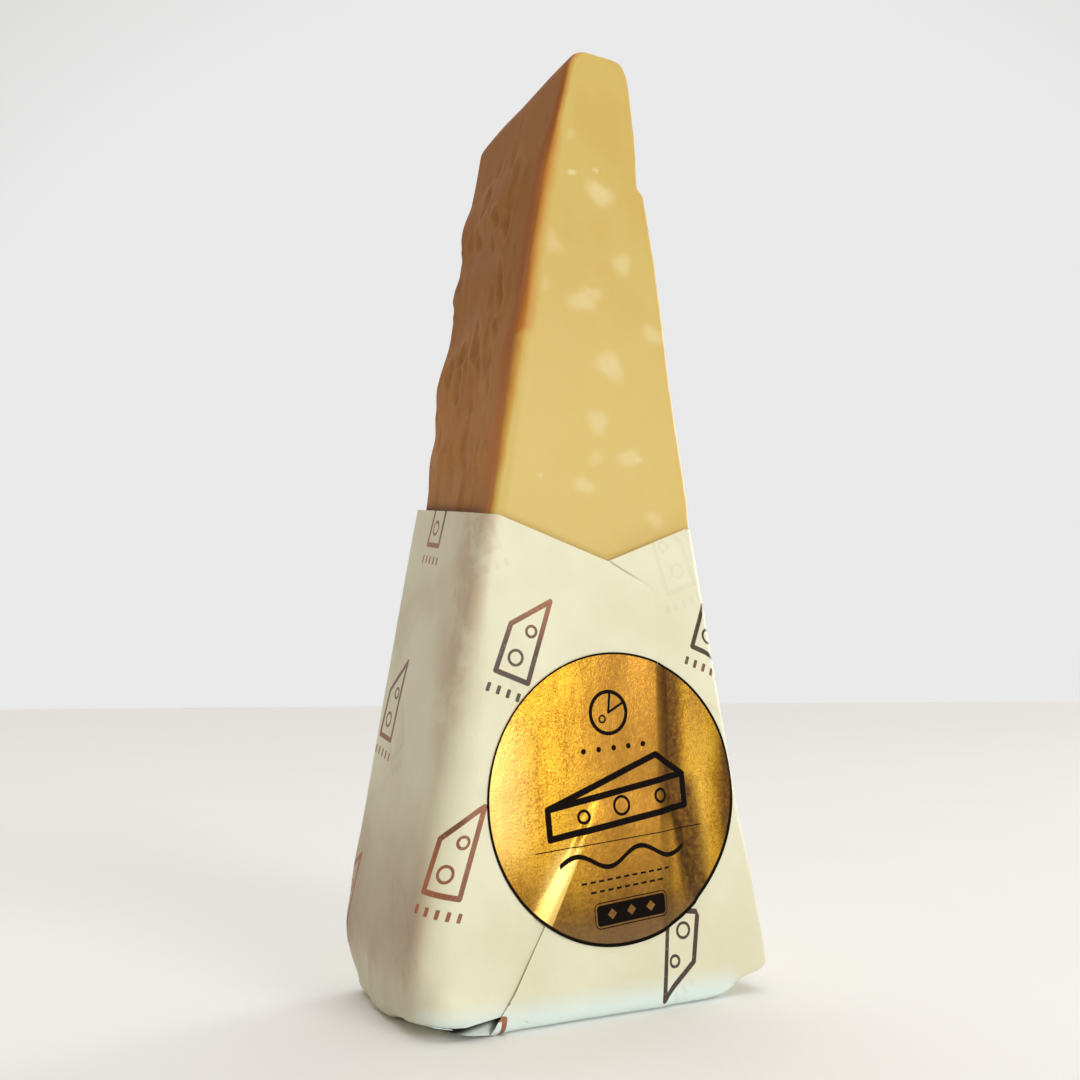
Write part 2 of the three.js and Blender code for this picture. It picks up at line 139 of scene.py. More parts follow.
# The right corner is folded up in two facets: x, rise.
HEEL_RIGHT = ((24.0, 0.0), (28.0, 0.35), (29.5, 0.8), (33.1, 2.6), (35.0, 3.2), (39.5, 4.1), (43.0, 4.8))
LEFT_RISE_FULL_Y, LEFT_RISE_NONE_Y = -22.0, 4.0
HEEL_FADE_Z = 20.0
WRAP_CLEARANCE = 1.0  # outer skin of the sides to the cheese
WRAP_BACK_Y = BACK_Y + WRAP_CLEARANCE
SNUG_CLEARANCE, SNUG_Z = 0.25, (16.0, 4.0)  # the right side fits closely, this far below its mouth

MOUTH_BACK_Z, MOUTH_FRONT_Z = 108.6, 100.2
MOUTH_V_X, MOUTH_V_Z = 1.1, 91.9
CLEAR_FROM, CLEAR_TO = 1.0, 6.0  # above the mouth the cheese takes its own shape

PAPER_THICK = 0.14
UNDER_Y = -21.72  # outer skin of the right panel, which goes underneath
PANEL_Y = -22.02  # outer skin of the left panel, which lies over it
UNDER_END_X = -12.0
PANEL_EDGE_X = 12.9
PANEL_CORNER = 3.0
# Mouth edge of the left panel, from the left corner to its free edge: x, height.
PANEL_RIM = ((-24.4, 100.2), (1.8, 91.8), (6.3, 89.4), (8.8, 88.4), (11.0, 87.2), (12.9, 86.2))
# At the lower left the panel's edge stands clear above a folded-in tuck: height and stand-off by x.
LIP = ((-37.0, 0.0), (-33.5, 0.7), (-30.0, 1.9), (-26.6, 2.8), (-24.5, 3.2), (-20.0, 2.4), (-16.0, 0.0))
LIP_OFF, LIP_STRAIGHT = 0.45, 1.5  # the edge is cut straight where it stands higher than this
LIP_FADE, LIP_OFF_FADE = 8, 9  # height at which its lift and its stand-off end
TUCK_LEFT, TUCK_RIGHT, TUCK_LIFT = -36.0, -20.5, 0.15
TUCK_Y, TUCK_SLOPE, TUCK_HIDDEN = -21.7, 2.6, 1.2  # it slopes back, up to a little above the panel's edge
HEEL_HOLLOW, HEEL_HOLLOW_X, HEEL_HOLLOW_Z = 4.0, (-14.0, -18.0), (10.0, 6.0)  # behind the tuck
BASE_LIFT = 0.2  # the flap lies between the wrap and the floor
BASE_TUCK = 1.7  # the underside starts this far in, above the turned edge
BASE_FOLD_REACH, BASE_FOLD_STEP = 14, 0.12  # its slanting folds: where they start, and their height

FLAP_TOP = 36.0
FLAP_OFF = 0.32  # the flap's outer skin stands this far off the panels
# Left and right edge of the bottom flap: height, x.
FLAP_LEFT = ((-14.0, -34.0), (1.4, -26.0), (7.4, -21.3), (19.4, -14.5), (33.8, -6.9), (45.0, -1.0))
FLAP_RIGHT = ((-14.0, 36.0), (2.9, 30.6), (7.3, 27.9), (14.0, 23.8), (22.0, 20.2), (35.8, 16.3), (45.0, 13.2))
FLAP_UNDER = 14.0  # how far it runs back under the heel
FLAP_PRINT_AT = (16.5, 10.5)  # middle of the motif that shows on it
FLAP_PRINT_TURN = math.radians(192.0)

SEAL_X, SEAL_Z, SEAL_R = 2.5, 43.1, 29.6
SEAL_THICK = 0.12
SEAL_OFF, SEAL_OFF_FLAP = 0.2, 0.22  # it stands off the panels, and further off the flap
SEAL_TURN_SHARE = 0.97  # it follows the paper's rounded right edge over this share of the radius
# Soft waves of the front, billows of the sides and pillows of the seal: size across, size along,
# height and seed of each noise.
FRONT_WAVES = ((17, 22, 0.16, 101), (7, 9, 0.07, 102))
BILLOWS = ((21, 30, 0.35, 110), (9, 13, 0.15, 111))
PILLOWS = ((9, 16, 0.06, 130), (3.5, 9, 0.02, 131))
SEAL_TURN = math.radians(5.0)  # the seal was stuck on a little askew

# ---- small helpers


def clamp(v, low=0.0, high=1.0):
    return np.minimum(high, np.maximum(low, v))


def mix(a, b, t):
    return a + (b - a) * t


def smooth(low, high, v):
    t = clamp((v - low) / (high - low))
    return t * t * (3 - 2 * t)


def lattice(i, j, seed):
    """A fixed pseudo-random value from -1 to 1 for each lattice point."""
    s = np.sin(i * 127.1 + j * 311.7 + seed * 74.7) * 43758.5453
    return 2 * (s - np.floor(s)) - 1


def noise(u, v, seed):
    i, j = np.floor(u), np.floor(v)
    a, b = smooth(0, 1, u - i), smooth(0, 1, v - j)
    low = mix(lattice(i, j, seed), lattice(i + 1, j, seed), a)
    high = mix(lattice(i, j + 1, seed), lattice(i + 1, j + 1, seed), a)
    return mix(low, high, b)


def waves(u, v, layers):
    """Several noises together, each given as size across, size along, height and seed."""
    return sum(height * noise(u / across, v / along, seed) for across, along, height, seed in layers)


def cells_near(u, v):
    """Numbers of the lattice cell that a place is in, and of the eight round it."""
    i, j = np.floor(u), np.floor(v)
    return [(i + di, j + dj) for di in (-1, 0, 1) for dj in (-1, 0, 1)]


def grains(u, v, seed):
    """Upper envelope of tilted domes on a jittered grid: the grainy break of hard cheese."""
    best = np.full(np.broadcast(u, v).shape, -9.0)
    for i, j in cells_near(u, v):
        x = u - i - 0.5 - 0.4 * lattice(i, j, seed)
        y = v - j - 0.5 - 0.4 * lattice(i, j, seed + 1)
        tilt = 0.8 * (lattice(i, j, seed + 3) * x + lattice(i, j, seed + 4) * y)
        best = np.maximum(best, 0.5 * lattice(i, j, seed + 2) + tilt - 1.2 * (x * x + y * y))
    return best


def dent(x, h, strength):
    """One dent, from 0 to 1, and its raised rim, for places in half widths and half lengths."""
    away = np.hypot(x, h)
    rim = smooth(0.7, 1.1, away) * smooth(1.7, 1.1, away)
    return strength * (1 - smooth(0.2, 1.05, away)), strength * rim


def dents(y, z):
    """0 on the smooth rind, up to 1 in the dents that shelf and cloth left, below 0 on their rims."""
    warp_y, warp_z = (DENT_WARP * noise(y / 3.6, z / 4.6, seed) for seed in DENT_WARP_SEEDS)
    y, z = y + warp_y, z + 1.6 * warp_z
    found = []
    for at_y, at_z, half_width, half_length, strength in DENTS:
        h = z - at_z
        found.append(dent((y - at_y - DENT_LEAN * h) / half_width, h / half_length, strength))
    u, v = (y - DENT_LEAN * z) / DENT_CELL[0], z / DENT_CELL[1]
    for i, j in cells_near(u, v):
        x = (u - i - 0.5 - 0.3 * lattice(i, j, DENT_PLACE_SEEDS[0])) * DENT_CELL[0] / DENT_HALF[0]
        h = (v - j - 0.5 - 0.4 * lattice(i, j, DENT_PLACE_SEEDS[1])) * DENT_CELL[1] / DENT_HALF[1]
        h = h / (1 + 0.4 * lattice(i, j, DENT_LENGTH_SEED))
        found.append(dent(x, h, FAINT * clamp(0.5 + 0.9 * lattice(i, j, DENT_STRENGTH_SEED))))
    deepest = np.maximum.reduce([deep for deep, _ in found])
    rims = np.maximum.reduce([rim for _, rim in found])
    relief = deepest - DENT_RIM * rims * (1 - smooth(0.0, 0.3, deepest))
    return relief * smooth(*DENT_FROM_Y, y) * smooth(*DENT_FROM_Z, z) * smooth(*DENT_TO_Z, z)


def broken(u, v, seed):
    """Height of a broken face, in mm, for places given in mm."""
    return sum(
        height * grains(u / size, v / size, seed + 10 * k) for k, (size, height) in enumerate(BREAK_GRAINS)
    )


def edge_inset(d, radius, most=1.0):
    """How far a rounded upright edge stands back from the face, at a distance d from the corner."""
    short = clamp(radius - d, 0.0, most * radius)
    return radius - np.sqrt(radius * radius - short * short)


def turned(p, angle):
    """A place, in numbers or terms, on a sheet that is turned by an angle."""
    c, s = math.cos(angle), math.sin(angle)
    return p[0] * c + p[1] * s, p[1] * c - p[0] * s


def quarter(count):
    """The angles of a quarter turn in even steps."""
    return np.linspace(0, math.pi / 2, count)


def stack(*parts):
    """Arrays put side by side as the parts of each point."""
    return np.stack(parts, -1)


def join(*parts):
    """Arrays one after the other."""
    return np.concatenate(parts)


def along(table, v):
    """A value read from a short table of points."""
    return np.interp(v, *zip(*table))


# ---- outlines of the solids


def heel_z(x, y):
    """How far the heel is turned up at its left and right ends."""
    t = clamp((-x - HEEL_FLAT) / (HEEL_HALF - HEEL_FLAT), 0, 1.2)
    left = HEEL_RISE_LEFT * (1 - smooth(LEFT_RISE_FULL_Y, LEFT_RISE_NONE_Y, y)) * t * t
    return np.where(x < 0, left, along(HEEL_RIGHT, x))


def heel_lift(x, y, up):
    """The same, dying out above the heel."""
    return heel_z(x, y) * (1 - smooth(0, HEEL_FADE_Z, up))


def foot_inset(z):
    turn = clamp(1 - z / BASE_ROUND)
    return BASE_ROUND * (1 - np.sqrt(1 - turn * turn))


def wrap_edge(z):
    """Radius of the wrap's upright edges behind."""
    return mix(WRAP_EDGE_FOOT, WRAP_EDGE_TOP, smooth(0, WRAP_EDGE_Z, z))


def front_turn(side, z):
    """Radius of the rounded edge between the front and one side."""
    low, change = TURNS[side]
    return mix(low, TURN_TOP, smooth(*change, z))


def wrap_half(side, z):
    half, lean, toe_z, toe_cut, toe_power = WRAP_SIDES[side]
    return half + lean * (WRAP_REF_Z - z) - toe_cut * clamp(1 - z / toe_z) ** toe_power


def rear_fold(side, y, z):
    """How much further the rear left corner is folded in near the foot."""
    return (side < 0) * FOLD_CUT * clamp(1 - z / FOLD_Z) ** FOLD_POWER * smooth(*FOLD_Y, y)


def side_mouth_z(y):
    depth = clamp((y - (CUT_Y - WRAP_CLEARANCE)) / (WRAP_BACK_Y - CUT_Y + WRAP_CLEARANCE))
    return mix(MOUTH_FRONT_Z, MOUTH_BACK_Z, depth)


def lumps(depth, z):
    return depth * sum(clamp(1 - ((z - at) / reach) ** 2) ** 2 * swell for at, reach, swell in LEFT_LUMPS)


def side_relief(side, y, z):
    """Relief of a long side: the solids' own, and the finer relief that only shows."""
    ripple = RIPPLE_HEIGHT * noise(y / RIPPLE_ACROSS, z / RIPPLE_ALONG, RIPPLE_SEED + side)
    crag = CRAG_HEIGHT * noise(y / CRAG_ACROSS, z / CRAG_ALONG, CRAG_SEED + side)
    if side > 0:
        return ripple + crag + broken(y, z, RIGHT_BREAK) - BREAK_SINK_RIGHT
    calm = 1 - RIND_CALM * smooth(*RIND_CALM_Z, z)
    return (RIND_RIPPLE * ripple + crag) * calm - DENT_DEPTH * dents(y, z)


def bare_half(side, y, z):
    """Half width of the bare cheese on one side, before its upright edges are rounded."""
    depth = (y - CUT_Y) / CHEESE_DEPTH
    if side < 0:
        lean = np.where(z > BEND_Z, LEFT_TIP_LEAN, LEFT_LEAN)
        twist = mix(TWIST_LOW, TWIST_HIGH, (z - TWIST_LOW_Z) / (TWIST_HIGH_Z - TWIST_LOW_Z))
        half = LEFT_AT_BEND + lean * (BEND_Z - z) + twist * depth + lumps(depth, z)
    else:
        scar = smooth(CHIP_LOW, CHIP_DEEP, z) * clamp((CHIP_HIGH - z) / (CHIP_HIGH - CHIP_DEEP))
        half = RIGHT_AT_BEND + RIGHT_LEAN * (BEND_Z - z)
        half = half - CHIP_DEPTH * scar * clamp(1 - (y - CUT_Y) / CHIP_REACH)
    half = half - TIP_CUTS[side] * clamp((z - TIP_Z + TIP_CORNER) / TIP_CORNER) ** 2
    share = mix(STRAIGHT_FRONT_SHARE, 1, smooth(0, STRAIGHT_FRONT_REACH, y - CUT_Y))
    return half + side_relief(side, y, z) * share


def cheese_half(side, y, z):
    """The same, kept inside the paper up to just above its mouth."""
    bare = bare_half(side, y, z)
    over_mouth = z - side_mouth_z(y)
    snug = smooth(*SNUG_Z, -over_mouth) * (side > 0)
    room = wrap_half(side, z) - mix(WRAP_CLEARANCE, SNUG_CLEARANCE, snug) - rear_fold(side, y, z)
    return mix(np.minimum(bare, room), bare, smooth(CLEAR_FROM, CLEAR_TO, over_mouth))


# ---- meshes


UV_MM = 100.0  # one unit of a sheet's own coordinates, in mm


def put(thing):
    """Adds an object to the scene."""
    bpy.context.scene.collection.objects.link(thing)
    return thing


def build_mesh(name, points, quads, smooth_angle=40.0, attributes=None, uv=None):
    """A mesh object from points in mm and an array of four-cornered faces."""
    mesh = bpy.data.meshes.new(name)
    mesh.vertices.add(len(points))
    mesh.vertices.foreach_set("co", (points * MM).astype(np.float32).ravel())
    mesh.loops.add(quads.size)
    mesh.loops.foreach_set("vertex_index", quads.astype(np.int32).ravel())
    mesh.polygons.add(len(quads))
    mesh.polygons.foreach_set("loop_start", np.arange(0, quads.size, 4, dtype=np.int32))
    for key, values in (attributes or {}).items():
        layer = mesh.attributes.new(key, "FLOAT", "POINT")
        layer.data.foreach_set("value", values.astype(np.float32))
    if uv is not None:
        layer = mesh.uv_layers.new(name="sheet")
        layer.data.foreach_set("uv", uv[quads.ravel()].astype(np.float32).ravel())
    mesh.update(calc_edges=True)
    mesh.validate()
    mesh.polygons.foreach_set("use_smooth", np.ones(len(mesh.polygons), bool))
    mesh.set_sharp_from_angle(angle=math.radians(smooth_angle))
    return put(bpy.data.objects.new(name, mesh))


def grid_shares(rows, columns):
    """How far up and how far along each point of a grid is, from 0 to 1."""
    return np.linspace(0, 1, rows)[:, None], np.linspace(0, 1, columns)[None, :]


def grid_quads(index):
    """Faces of a grid of vertex numbers, rows going up and columns going round."""
    a, b = index[:-1, :-1], index[:-1, 1:]
    c, d = index[1:, 1:], index[1:, :-1]
    return stack(a, b, c, d).reshape(-1, 4)


def ring_quads(index):
    """The same for a grid whose last column is next to its first."""
    return grid_quads(np.concatenate([index, index[:, :1]], 1))


def grid_normals(points):
    across = np.gradient(points, axis=1)
    up = np.gradient(points, axis=0)
    normal = np.cross(across, up)
    return normal / np.maximum(np.linalg.norm(normal, axis=-1, keepdims=True), 1e-9)


def sheet_piece(name, outer, thickness, uv, smooth_angle=35.0, **values):
    """A closed thin sheet from a grid of points on its outer skin, with values for its material."""
    rows, columns = outer.shape[:2]
    inner = outer - thickness * grid_normals(outer)
    index = np.arange(rows * columns).reshape(rows, columns)
    far = index + rows * columns
    rim = join(index[0, :], index[1:, -1], index[-1, -2::-1], index[-2::-1, 0])
    behind = rim + rows * columns
    edge = stack(rim[:-1], behind[:-1], behind[1:], rim[1:])
    quads = join(grid_quads(index), grid_quads(far)[:, ::-1], edge)
    points = join(outer.reshape(-1, 3), inner.reshape(-1, 3))
    flat = uv.reshape(-1, 2) / UV_MM
    attributes = {key: np.tile(value.ravel(), 2) for key, value in values.items()}
    return build_mesh(name, points, quads, smooth_angle, attributes, join(flat, flat))


# ---- the cheese

CHEESE_COLUMNS = 70  # points across the cut face
CHEESE_SIDE = 72  # points across each side between its rounded edges
EDGE_TURNS = 7
# Levels inside the paper, from where the cheese shows on the height of a row, and turns at the tip.
HIDDEN_LEVELS = (0, 0.15, 0.4, 0.8, 1.4, 2, 4, 7, 10, 14, 18, 22, 33, 46, 61, 76, 86)
SHOWN_FROM_Z, CHEESE_ROW, CROWN_TURNS = 88.0, 0.5, 9


def side_stations():
    """Places across a side, as (share of radius, share of the flat stretch), front to back."""
    turn = 1 - np.cos(quarter(EDGE_TURNS + 1))
    flat = np.linspace(0, 1, CHEESE_SIDE)[1:-1]
    near = [(t, 0.0) for t in turn]
    far = [(2 - t, 1.0) for t in turn[::-1]]
    return np.array(near + [(1.0, m) for m in flat] + far)


def cheese_levels():
    hidden = np.array(HIDDEN_LEVELS) + WRAP_CLEARANCE
    shown = np.arange(SHOWN_FROM_Z, TIP_Z - TIP_ROUND, CHEESE_ROW)
    crown = TIP_Z - TIP_ROUND * (1 - np.sin(quarter(CROWN_TURNS)))
    return join(hidden, shown, crown)


def cheese_rings():
    """The cheese's skin, one ring for each level: points, depth under the rind, height of the break."""
    inner = side_stations()[1:-1]
    columns = np.linspace(0, 1, CHEESE_COLUMNS)
    stations = [(share, 0, 0) for share in columns] + [(1, *place) for place in inner]
    stations += [(share, 2, 1) for share in columns[::-1]] + [(0, *place) for place in inner[::-1]]
    across, by_radius, by_flat = np.array(stations).T
    level = cheese_levels()[:, None]
    above = level - WRAP_CLEARANCE
    wrapped = 1 - smooth(MOUTH_V_Z, MOUTH_BACK_Z + CLEAR_FROM, level)
    radius = mix(CHEESE_EDGE, front_turn(-1, above) - WRAP_CLEARANCE, wrapped)
    y = CUT_Y + by_radius * radius + by_flat * (CHEESE_DEPTH - 2 * radius)
    high = clamp((level - TIP_Z + TIP_ROUND) / TIP_ROUND)
    inset = foot_inset(above) + TIP_ROUND * (1 - np.sqrt(1 - high * high))
    rounded = edge_inset(np.minimum(y - CUT_Y, BACK_Y - y), radius) + inset
    left = -(cheese_half(-1, y, level) - rounded)
    right = cheese_half(1, y, level) - rounded
    x = mix(left, right, across)
    under_rind = x + bare_half(-1, y, level)
    back = (y - CUT_Y) / CHEESE_DEPTH
    drop = TIP_DROP * back * back * smooth(TIP_DROP_FROM_Z, TIP_Z, level)
    z = level - drop + heel_lift(x, y, above)
    y = y - (2 * back - 1) * inset
    inside = smooth(0, FACE_EDGE, x - left) * smooth(0, FACE_EDGE, right - x)
    on_front, on_back = ((by_radius + by_flat == which) * inside for which in (0, 3))
    y = y + on_front * (FACE_WAVE * noise(x / 9, z / 14, FACE_SEED) - CRYSTAL_HEIGHT * crystal_mask(x, z))
    bare_back = smooth(0, 4, z - MOUTH_BACK_Z - 1)
    crag = CRAG_HEIGHT * noise(x / CRAG_ACROSS, z / CRAG_ALONG, BACK_CRAG_SEED)
    behind = broken(x, z, BACK_BREAK)
    y = y + on_back * mix(-BREAK_SINK_BACK, BACK_CRAG * crag + BACK_RELIEF * behind, bare_back)
    on_right = (across == 1) * smooth(0, FACE_EDGE, y - CUT_Y) * smooth(0, FACE_EDGE, BACK_Y - y)
    broke = on_right * broken(y, level, RIGHT_BREAK) + on_back * behind
    hollow = HEEL_HOLLOW * smooth(*HEEL_HOLLOW_X, x) * smooth(*HEEL_HOLLOW_Z, z)
    y = y + hollow * clamp(1 - back)
    return stack(x, y, z), under_rind, broke


def crystal_mask(x, z):
    """Above 0 on a crystal, 0 off it: soft uneven blobs."""
    total = np.zeros(np.broadcast(x, z).shape)
    for k, (cx, cz, radius, strength) in enumerate(CRYSTALS):
        angle = np.arctan2(z - cz, x - cx)
        shape = 1 + 0.16 * np.sin(2 * angle + k) + 0.10 * np.sin(3 * angle + 2.3 * k)
        away = np.hypot((x - cx) / CRYSTAL_SPREAD, z - cz) / (radius * shape)
        total = np.maximum(total, strength * (1 - smooth(0.35, 1.2, away)))
    return total


def cap_grid(ring, first, new, columns, side):
    """Vertex numbers of a cap's grid and its inner points: rows from front to back."""
    index = np.zeros((side + 2, columns), int)
    index[0] = first + np.arange(columns)
    index[-1] = first + columns + side + np.arange(columns)[::-1]
    share = np.linspace(0, 1, columns)[1:-1]
    inner = []
    for row in range(1, side + 1):
        left, right = 2 * columns + 2 * side - row, columns + row - 1
        index[row, 0], index[row, -1] = first + left, first + right
        index[row, 1:-1] = new + len(inner) * (columns - 2) + np.arange(columns - 2)
        inner.append(mix(ring[left], ring[right], share[:, None]))
    return index, join(*inner)


def rim_z(x, y):
    """Height of the paper's mouth next to a place on the cheese."""
    right = mix(MOUTH_V_Z, MOUTH_FRONT_Z, (x - MOUTH_V_X) / (WRAP_RIGHT - MOUTH_V_X))
    front = np.where(x > MOUTH_V_X, right, along(PANEL_RIM, x))
    return np.where(y < CUT_Y + CHEESE_EDGE, front, side_mouth_z(y))


def make_cheese():
    rings, under, broke = cheese_rings()
    rows, ring = rings.shape[:2]
    columns = CHEESE_COLUMNS
    side = (ring - 2 * columns) // 2
    index = np.arange(rows * ring).reshape(rows, ring)
    walls = ring_quads(index)
    top, crown = cap_grid(rings[-1], index[-1, 0], rows * ring, columns, side)
    bottom, sole = cap_grid(rings[0], 0, rows * ring + len(crown), columns, side)
    crown_under = crown[:, 0] + bare_half(-1, crown[:, 1], TIP_Z)
    crown_right = bare_half(1, crown[:, 1], TIP_Z) - crown[:, 0]
    to_edge = np.minimum.reduce([crown_under, crown_right, crown[:, 1] - CUT_Y, BACK_Y - crown[:, 1]])
    crown_broke = broken(crown[:, 0], crown[:, 1], CROWN_BREAK)
    crown_broke = crown_broke * smooth(TIP_ROUND, TIP_ROUND + FACE_EDGE, to_edge)
    crown[:, 2] += CROWN_RELIEF * crown_broke
    points = join(rings.reshape(-1, 3), crown, sole)
    quads = join(walls, grid_quads(top), grid_quads(bottom)[:, ::-1])
    sole_under = sole[:, 0] + wrap_half(-1, sole[:, 2])
    depth = join(under.ravel(), crown_under, sole_under)
    facing = np.abs(points[:, 1] - CUT_Y) < 1.0
    crystals = crystal_mask(points[:, 0], points[:, 2]) * facing
    dented = dents(points[:, 1], points[:, 2]) * smooth(1.0, 0.3, depth)
    above_rim = points[:, 2] - rim_z(points[:, 0], points[:, 1])
    depth = depth + along(RIND_EDGE, points[:, 2]) * smooth(4.0, 0.5, points[:, 1] - CUT_Y)
    relief = join(broke.ravel(), crown_broke, 0 * sole_under)
    attributes = {
        "under_rind": depth, "crystal": crystals, "dent": dented, "above_rim": above_rim, "break": relief,
    }
    piece = build_mesh("cheese_body", points, quads, 60.0, attributes)
    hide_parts("cheese_wedge")
    return piece


# ---- the paper

WRAP_ROW = 1.0  # height of a row of the sheet's faces, above those round its turned foot
WRAP_FOOT_ROWS, WRAP_FOOT_TOP = (0, 0.1, 0.3, 0.6, 1.0, 1.5, 2.0, 2.6), 4.0
# The parts of the sheet from its hidden end round to its free edge, with the columns of each.
SHEET_PARTS = (("under", 44), ("right", 52), ("back", 60), ("left", 52), ("panel", 52))
SIDE_TURN = 0.075  # share of a side's columns' way that each of its rounded edges takes
BASE_GRID, TUCK_GRID = (44, 70), (14, 40)  # rows and columns of points
FLAP_COLUMNS, FLAP_ROW = 72, 0.8
CREASE_SEED, CRUMPLE_SEED, TUCK_SEED, FLAP_SEED = 112, 113, 115, 120


def panel_lift(x, z):
    """How far the left panel's free edge stands off the right panel."""
    return 0.28 * smooth(4, PANEL_EDGE_X, x) + 0.12 * smooth(70, 86, z) * smooth(0, PANEL_EDGE_X, x)


def front_wave(x, z):
    """Soft unevenness that all the layers on the front share. It dies out at the upright edges."""
    inside = smooth(4, 11, wrap_half(1, z) - x) * smooth(4, 11, x + wrap_half(-1, z))
    return inside * waves(x, z, FRONT_WAVES)


def front_stack_y(x, z):
    """Outer skin of the topmost panel on the front."""
    over = 1 - smooth(PANEL_EDGE_X - 0.6, PANEL_EDGE_X + 2.6, x)
    lift = panel_lift(np.minimum(x, PANEL_EDGE_X), z)
    return mix(UNDER_Y, PANEL_Y - lift, over) - front_wave(x, z)


def wrap_rows():
    """Heights of the sheet's rows, as shares of the mouth's."""
    low = np.array(WRAP_FOOT_ROWS) / MOUTH_FRONT_Z
    count = int((MOUTH_FRONT_Z - WRAP_FOOT_TOP) / WRAP_ROW)
    return join(low, np.linspace(WRAP_FOOT_TOP / MOUTH_FRONT_Z, 1, count))


def sheet_columns():
    """The sheet's columns, as (part, share along that part)."""
    columns = []
    for part, count in SHEET_PARTS:
        shares = np.linspace(0, 1, count, endpoint=part == "panel")
        if part in ("right", "left"):
            turn = (1 - np.cos(quarter(9))) * SIDE_TURN
            shares = join(turn, np.linspace(SIDE_TURN, 1 - SIDE_TURN, count)[1:-1], 1 - turn[::-1])[:-1]
        columns += [(part, share) for share in shares]
    return columns


UNROLL = math.atan(WRAP_LEAN_LEFT)  # unrolled flat, each side swings out by its lean


def way_round(d, total, front_radius, radius):
    """Distance over the paper from the front face, at a depth d, round both upright edges."""
    near = front_radius * np.arccos(clamp(1 - d / front_radius, 0, 1))
    far = radius * np.arccos(clamp(1 - (total - d) / radius, 0, 1))
    straight = clamp(d, front_radius, total - radius) - front_radius
    return near + straight + radius * math.pi / 2 - far


def wrap_column(part, share, t):
    """Points of one column of the sheet, and its distance round the paper, for the heights t."""
    level = t * MOUTH_FRONT_Z
    side = 1 if part in ("under", "right") else -1
    radius, turn, foot_in = wrap_edge(level), front_turn(side, level), foot_inset(level)
    end, top = wrap_half(side, level) - turn - foot_in, wrap_half(side, MOUTH_FRONT_Z) - TURN_TOP
    front = UNDER_Y if side > 0 else PANEL_Y
    raised = lip = 0.0
    if part == "under":
        x, x_top = mix(UNDER_END_X, end, share), mix(UNDER_END_X, top, share)
        y = UNDER_Y - front_wave(x, level) + 0 * t
        rim = mix(MOUTH_V_Z, MOUTH_FRONT_Z, (x_top - MOUTH_V_X) / (top - MOUTH_V_X))
        round_about = x
    elif part == "panel":
        x, x_top = mix(-end, PANEL_EDGE_X, share), mix(-top, PANEL_EDGE_X, share)
        y = PANEL_Y - panel_lift(x, level) - front_wave(x, level)
        past = clamp(x_top - PANEL_EDGE_X + PANEL_CORNER, 0, PANEL_CORNER)
        rim = along(PANEL_RIM, x_top) - PANEL_CORNER + math.sqrt(PANEL_CORNER**2 - past**2)
        round_about = x
        lip = along(LIP, x)
    elif part == "back":
        half_l, half_r = (
            wrap_half(s, level) - rear_fold(s, WRAP_BACK_Y, level) - radius - foot_in for s in (-1, 1)
        )
        x = mix(half_r, -half_l, share)
        y = WRAP_BACK_Y + 0 * t
        rim = MOUTH_BACK_Z
        side_way = way_round(WRAP_BACK_Y - front, WRAP_BACK_Y - front, turn, radius)
        round_about = -end - side_way * math.cos(UNROLL) - (x + half_l) * math.cos(2 * UNROLL)
        raised = side_way * math.sin(UNROLL) + (x + half_l) * math.sin(2 * UNROLL)
    else:
        depth = share if side > 0 else 1 - share
        y = mix(front, WRAP_BACK_Y, depth) + 0 * t
        inset = np.maximum(edge_inset(y - front, turn), edge_inset(WRAP_BACK_Y - y, radius)) + foot_in
        rim = side_mouth_z(y)
        x = side * (wrap_half(side, t * rim) - rear_fold(side, y, t * rim) - inset)
        way = way_round(y - front, WRAP_BACK_Y - front, turn, radius)
        round_about = side * (wrap_half(side, level) - turn + way * math.cos(UNROLL))
        raised = way * math.sin(UNROLL)
        if side < 0 and depth < 0.5:
            lip = along(LIP, x)
    back_share = (y - UNDER_Y) / (WRAP_BACK_Y - UNDER_Y)
    foot = BASE_LIFT + heel_lift(x, y, level) + lip * (1 - smooth(0, LIP_FADE, level))
    z = t * rim + (1 - t) * foot
    straight = clamp(lip / LIP_STRAIGHT)
    y = y - (2 * clamp(back_share) - 1) * foot_in * (1 - straight)
    y = y - straight * LIP_OFF * smooth(LIP_OFF_FADE, 0, level)
    return stack(x, y, z), stack(round_about + 0 * t, z + raised)


def wrap_relief(points):
    """Soft billows on the sides, and crumples at the lower left corner, in mm outwards."""
    x, y, v = points[..., 0], points[..., 1], points[..., 2]
    u = 0.7 * x + 1.3 * y
    on_side = smooth(0, 8, y - UNDER_Y)
    crease = np.abs(noise((u + 0.5 * v) / 11, (v - 0.4 * u) / 17, CREASE_SEED))
    folds = 0.5 * (0.3 - crease) * smooth(45, 8, v)
    crumple = 0.45 * (0.35 - np.abs(noise(u / 5.5, v / 4.5, CRUMPLE_SEED)))
    crumple = crumple * smooth(22, 4, v) * smooth(-20, -34, x)
    snug = smooth(*SNUG_Z, side_mouth_z(y) - v) * smooth(0, 10, x)
    return on_side * (waves(u, v, BILLOWS) + folds) * (1 - snug) + crumple


def make_wrap():
    t = wrap_rows()
    made = [wrap_column(part, share, t) for part, share in sheet_columns()]
    points = np.stack([p for p, _ in made], 1)
    uv = np.stack([c for _, c in made], 1)
    points = points + grid_normals(points) * wrap_relief(points)[..., None]
    points[..., 2] = np.maximum(points[..., 2], 0.0)
    piece = sheet_piece("wrap_sheet", points, PAPER_THICK, uv)
    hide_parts("paper_wrap")
    return piece


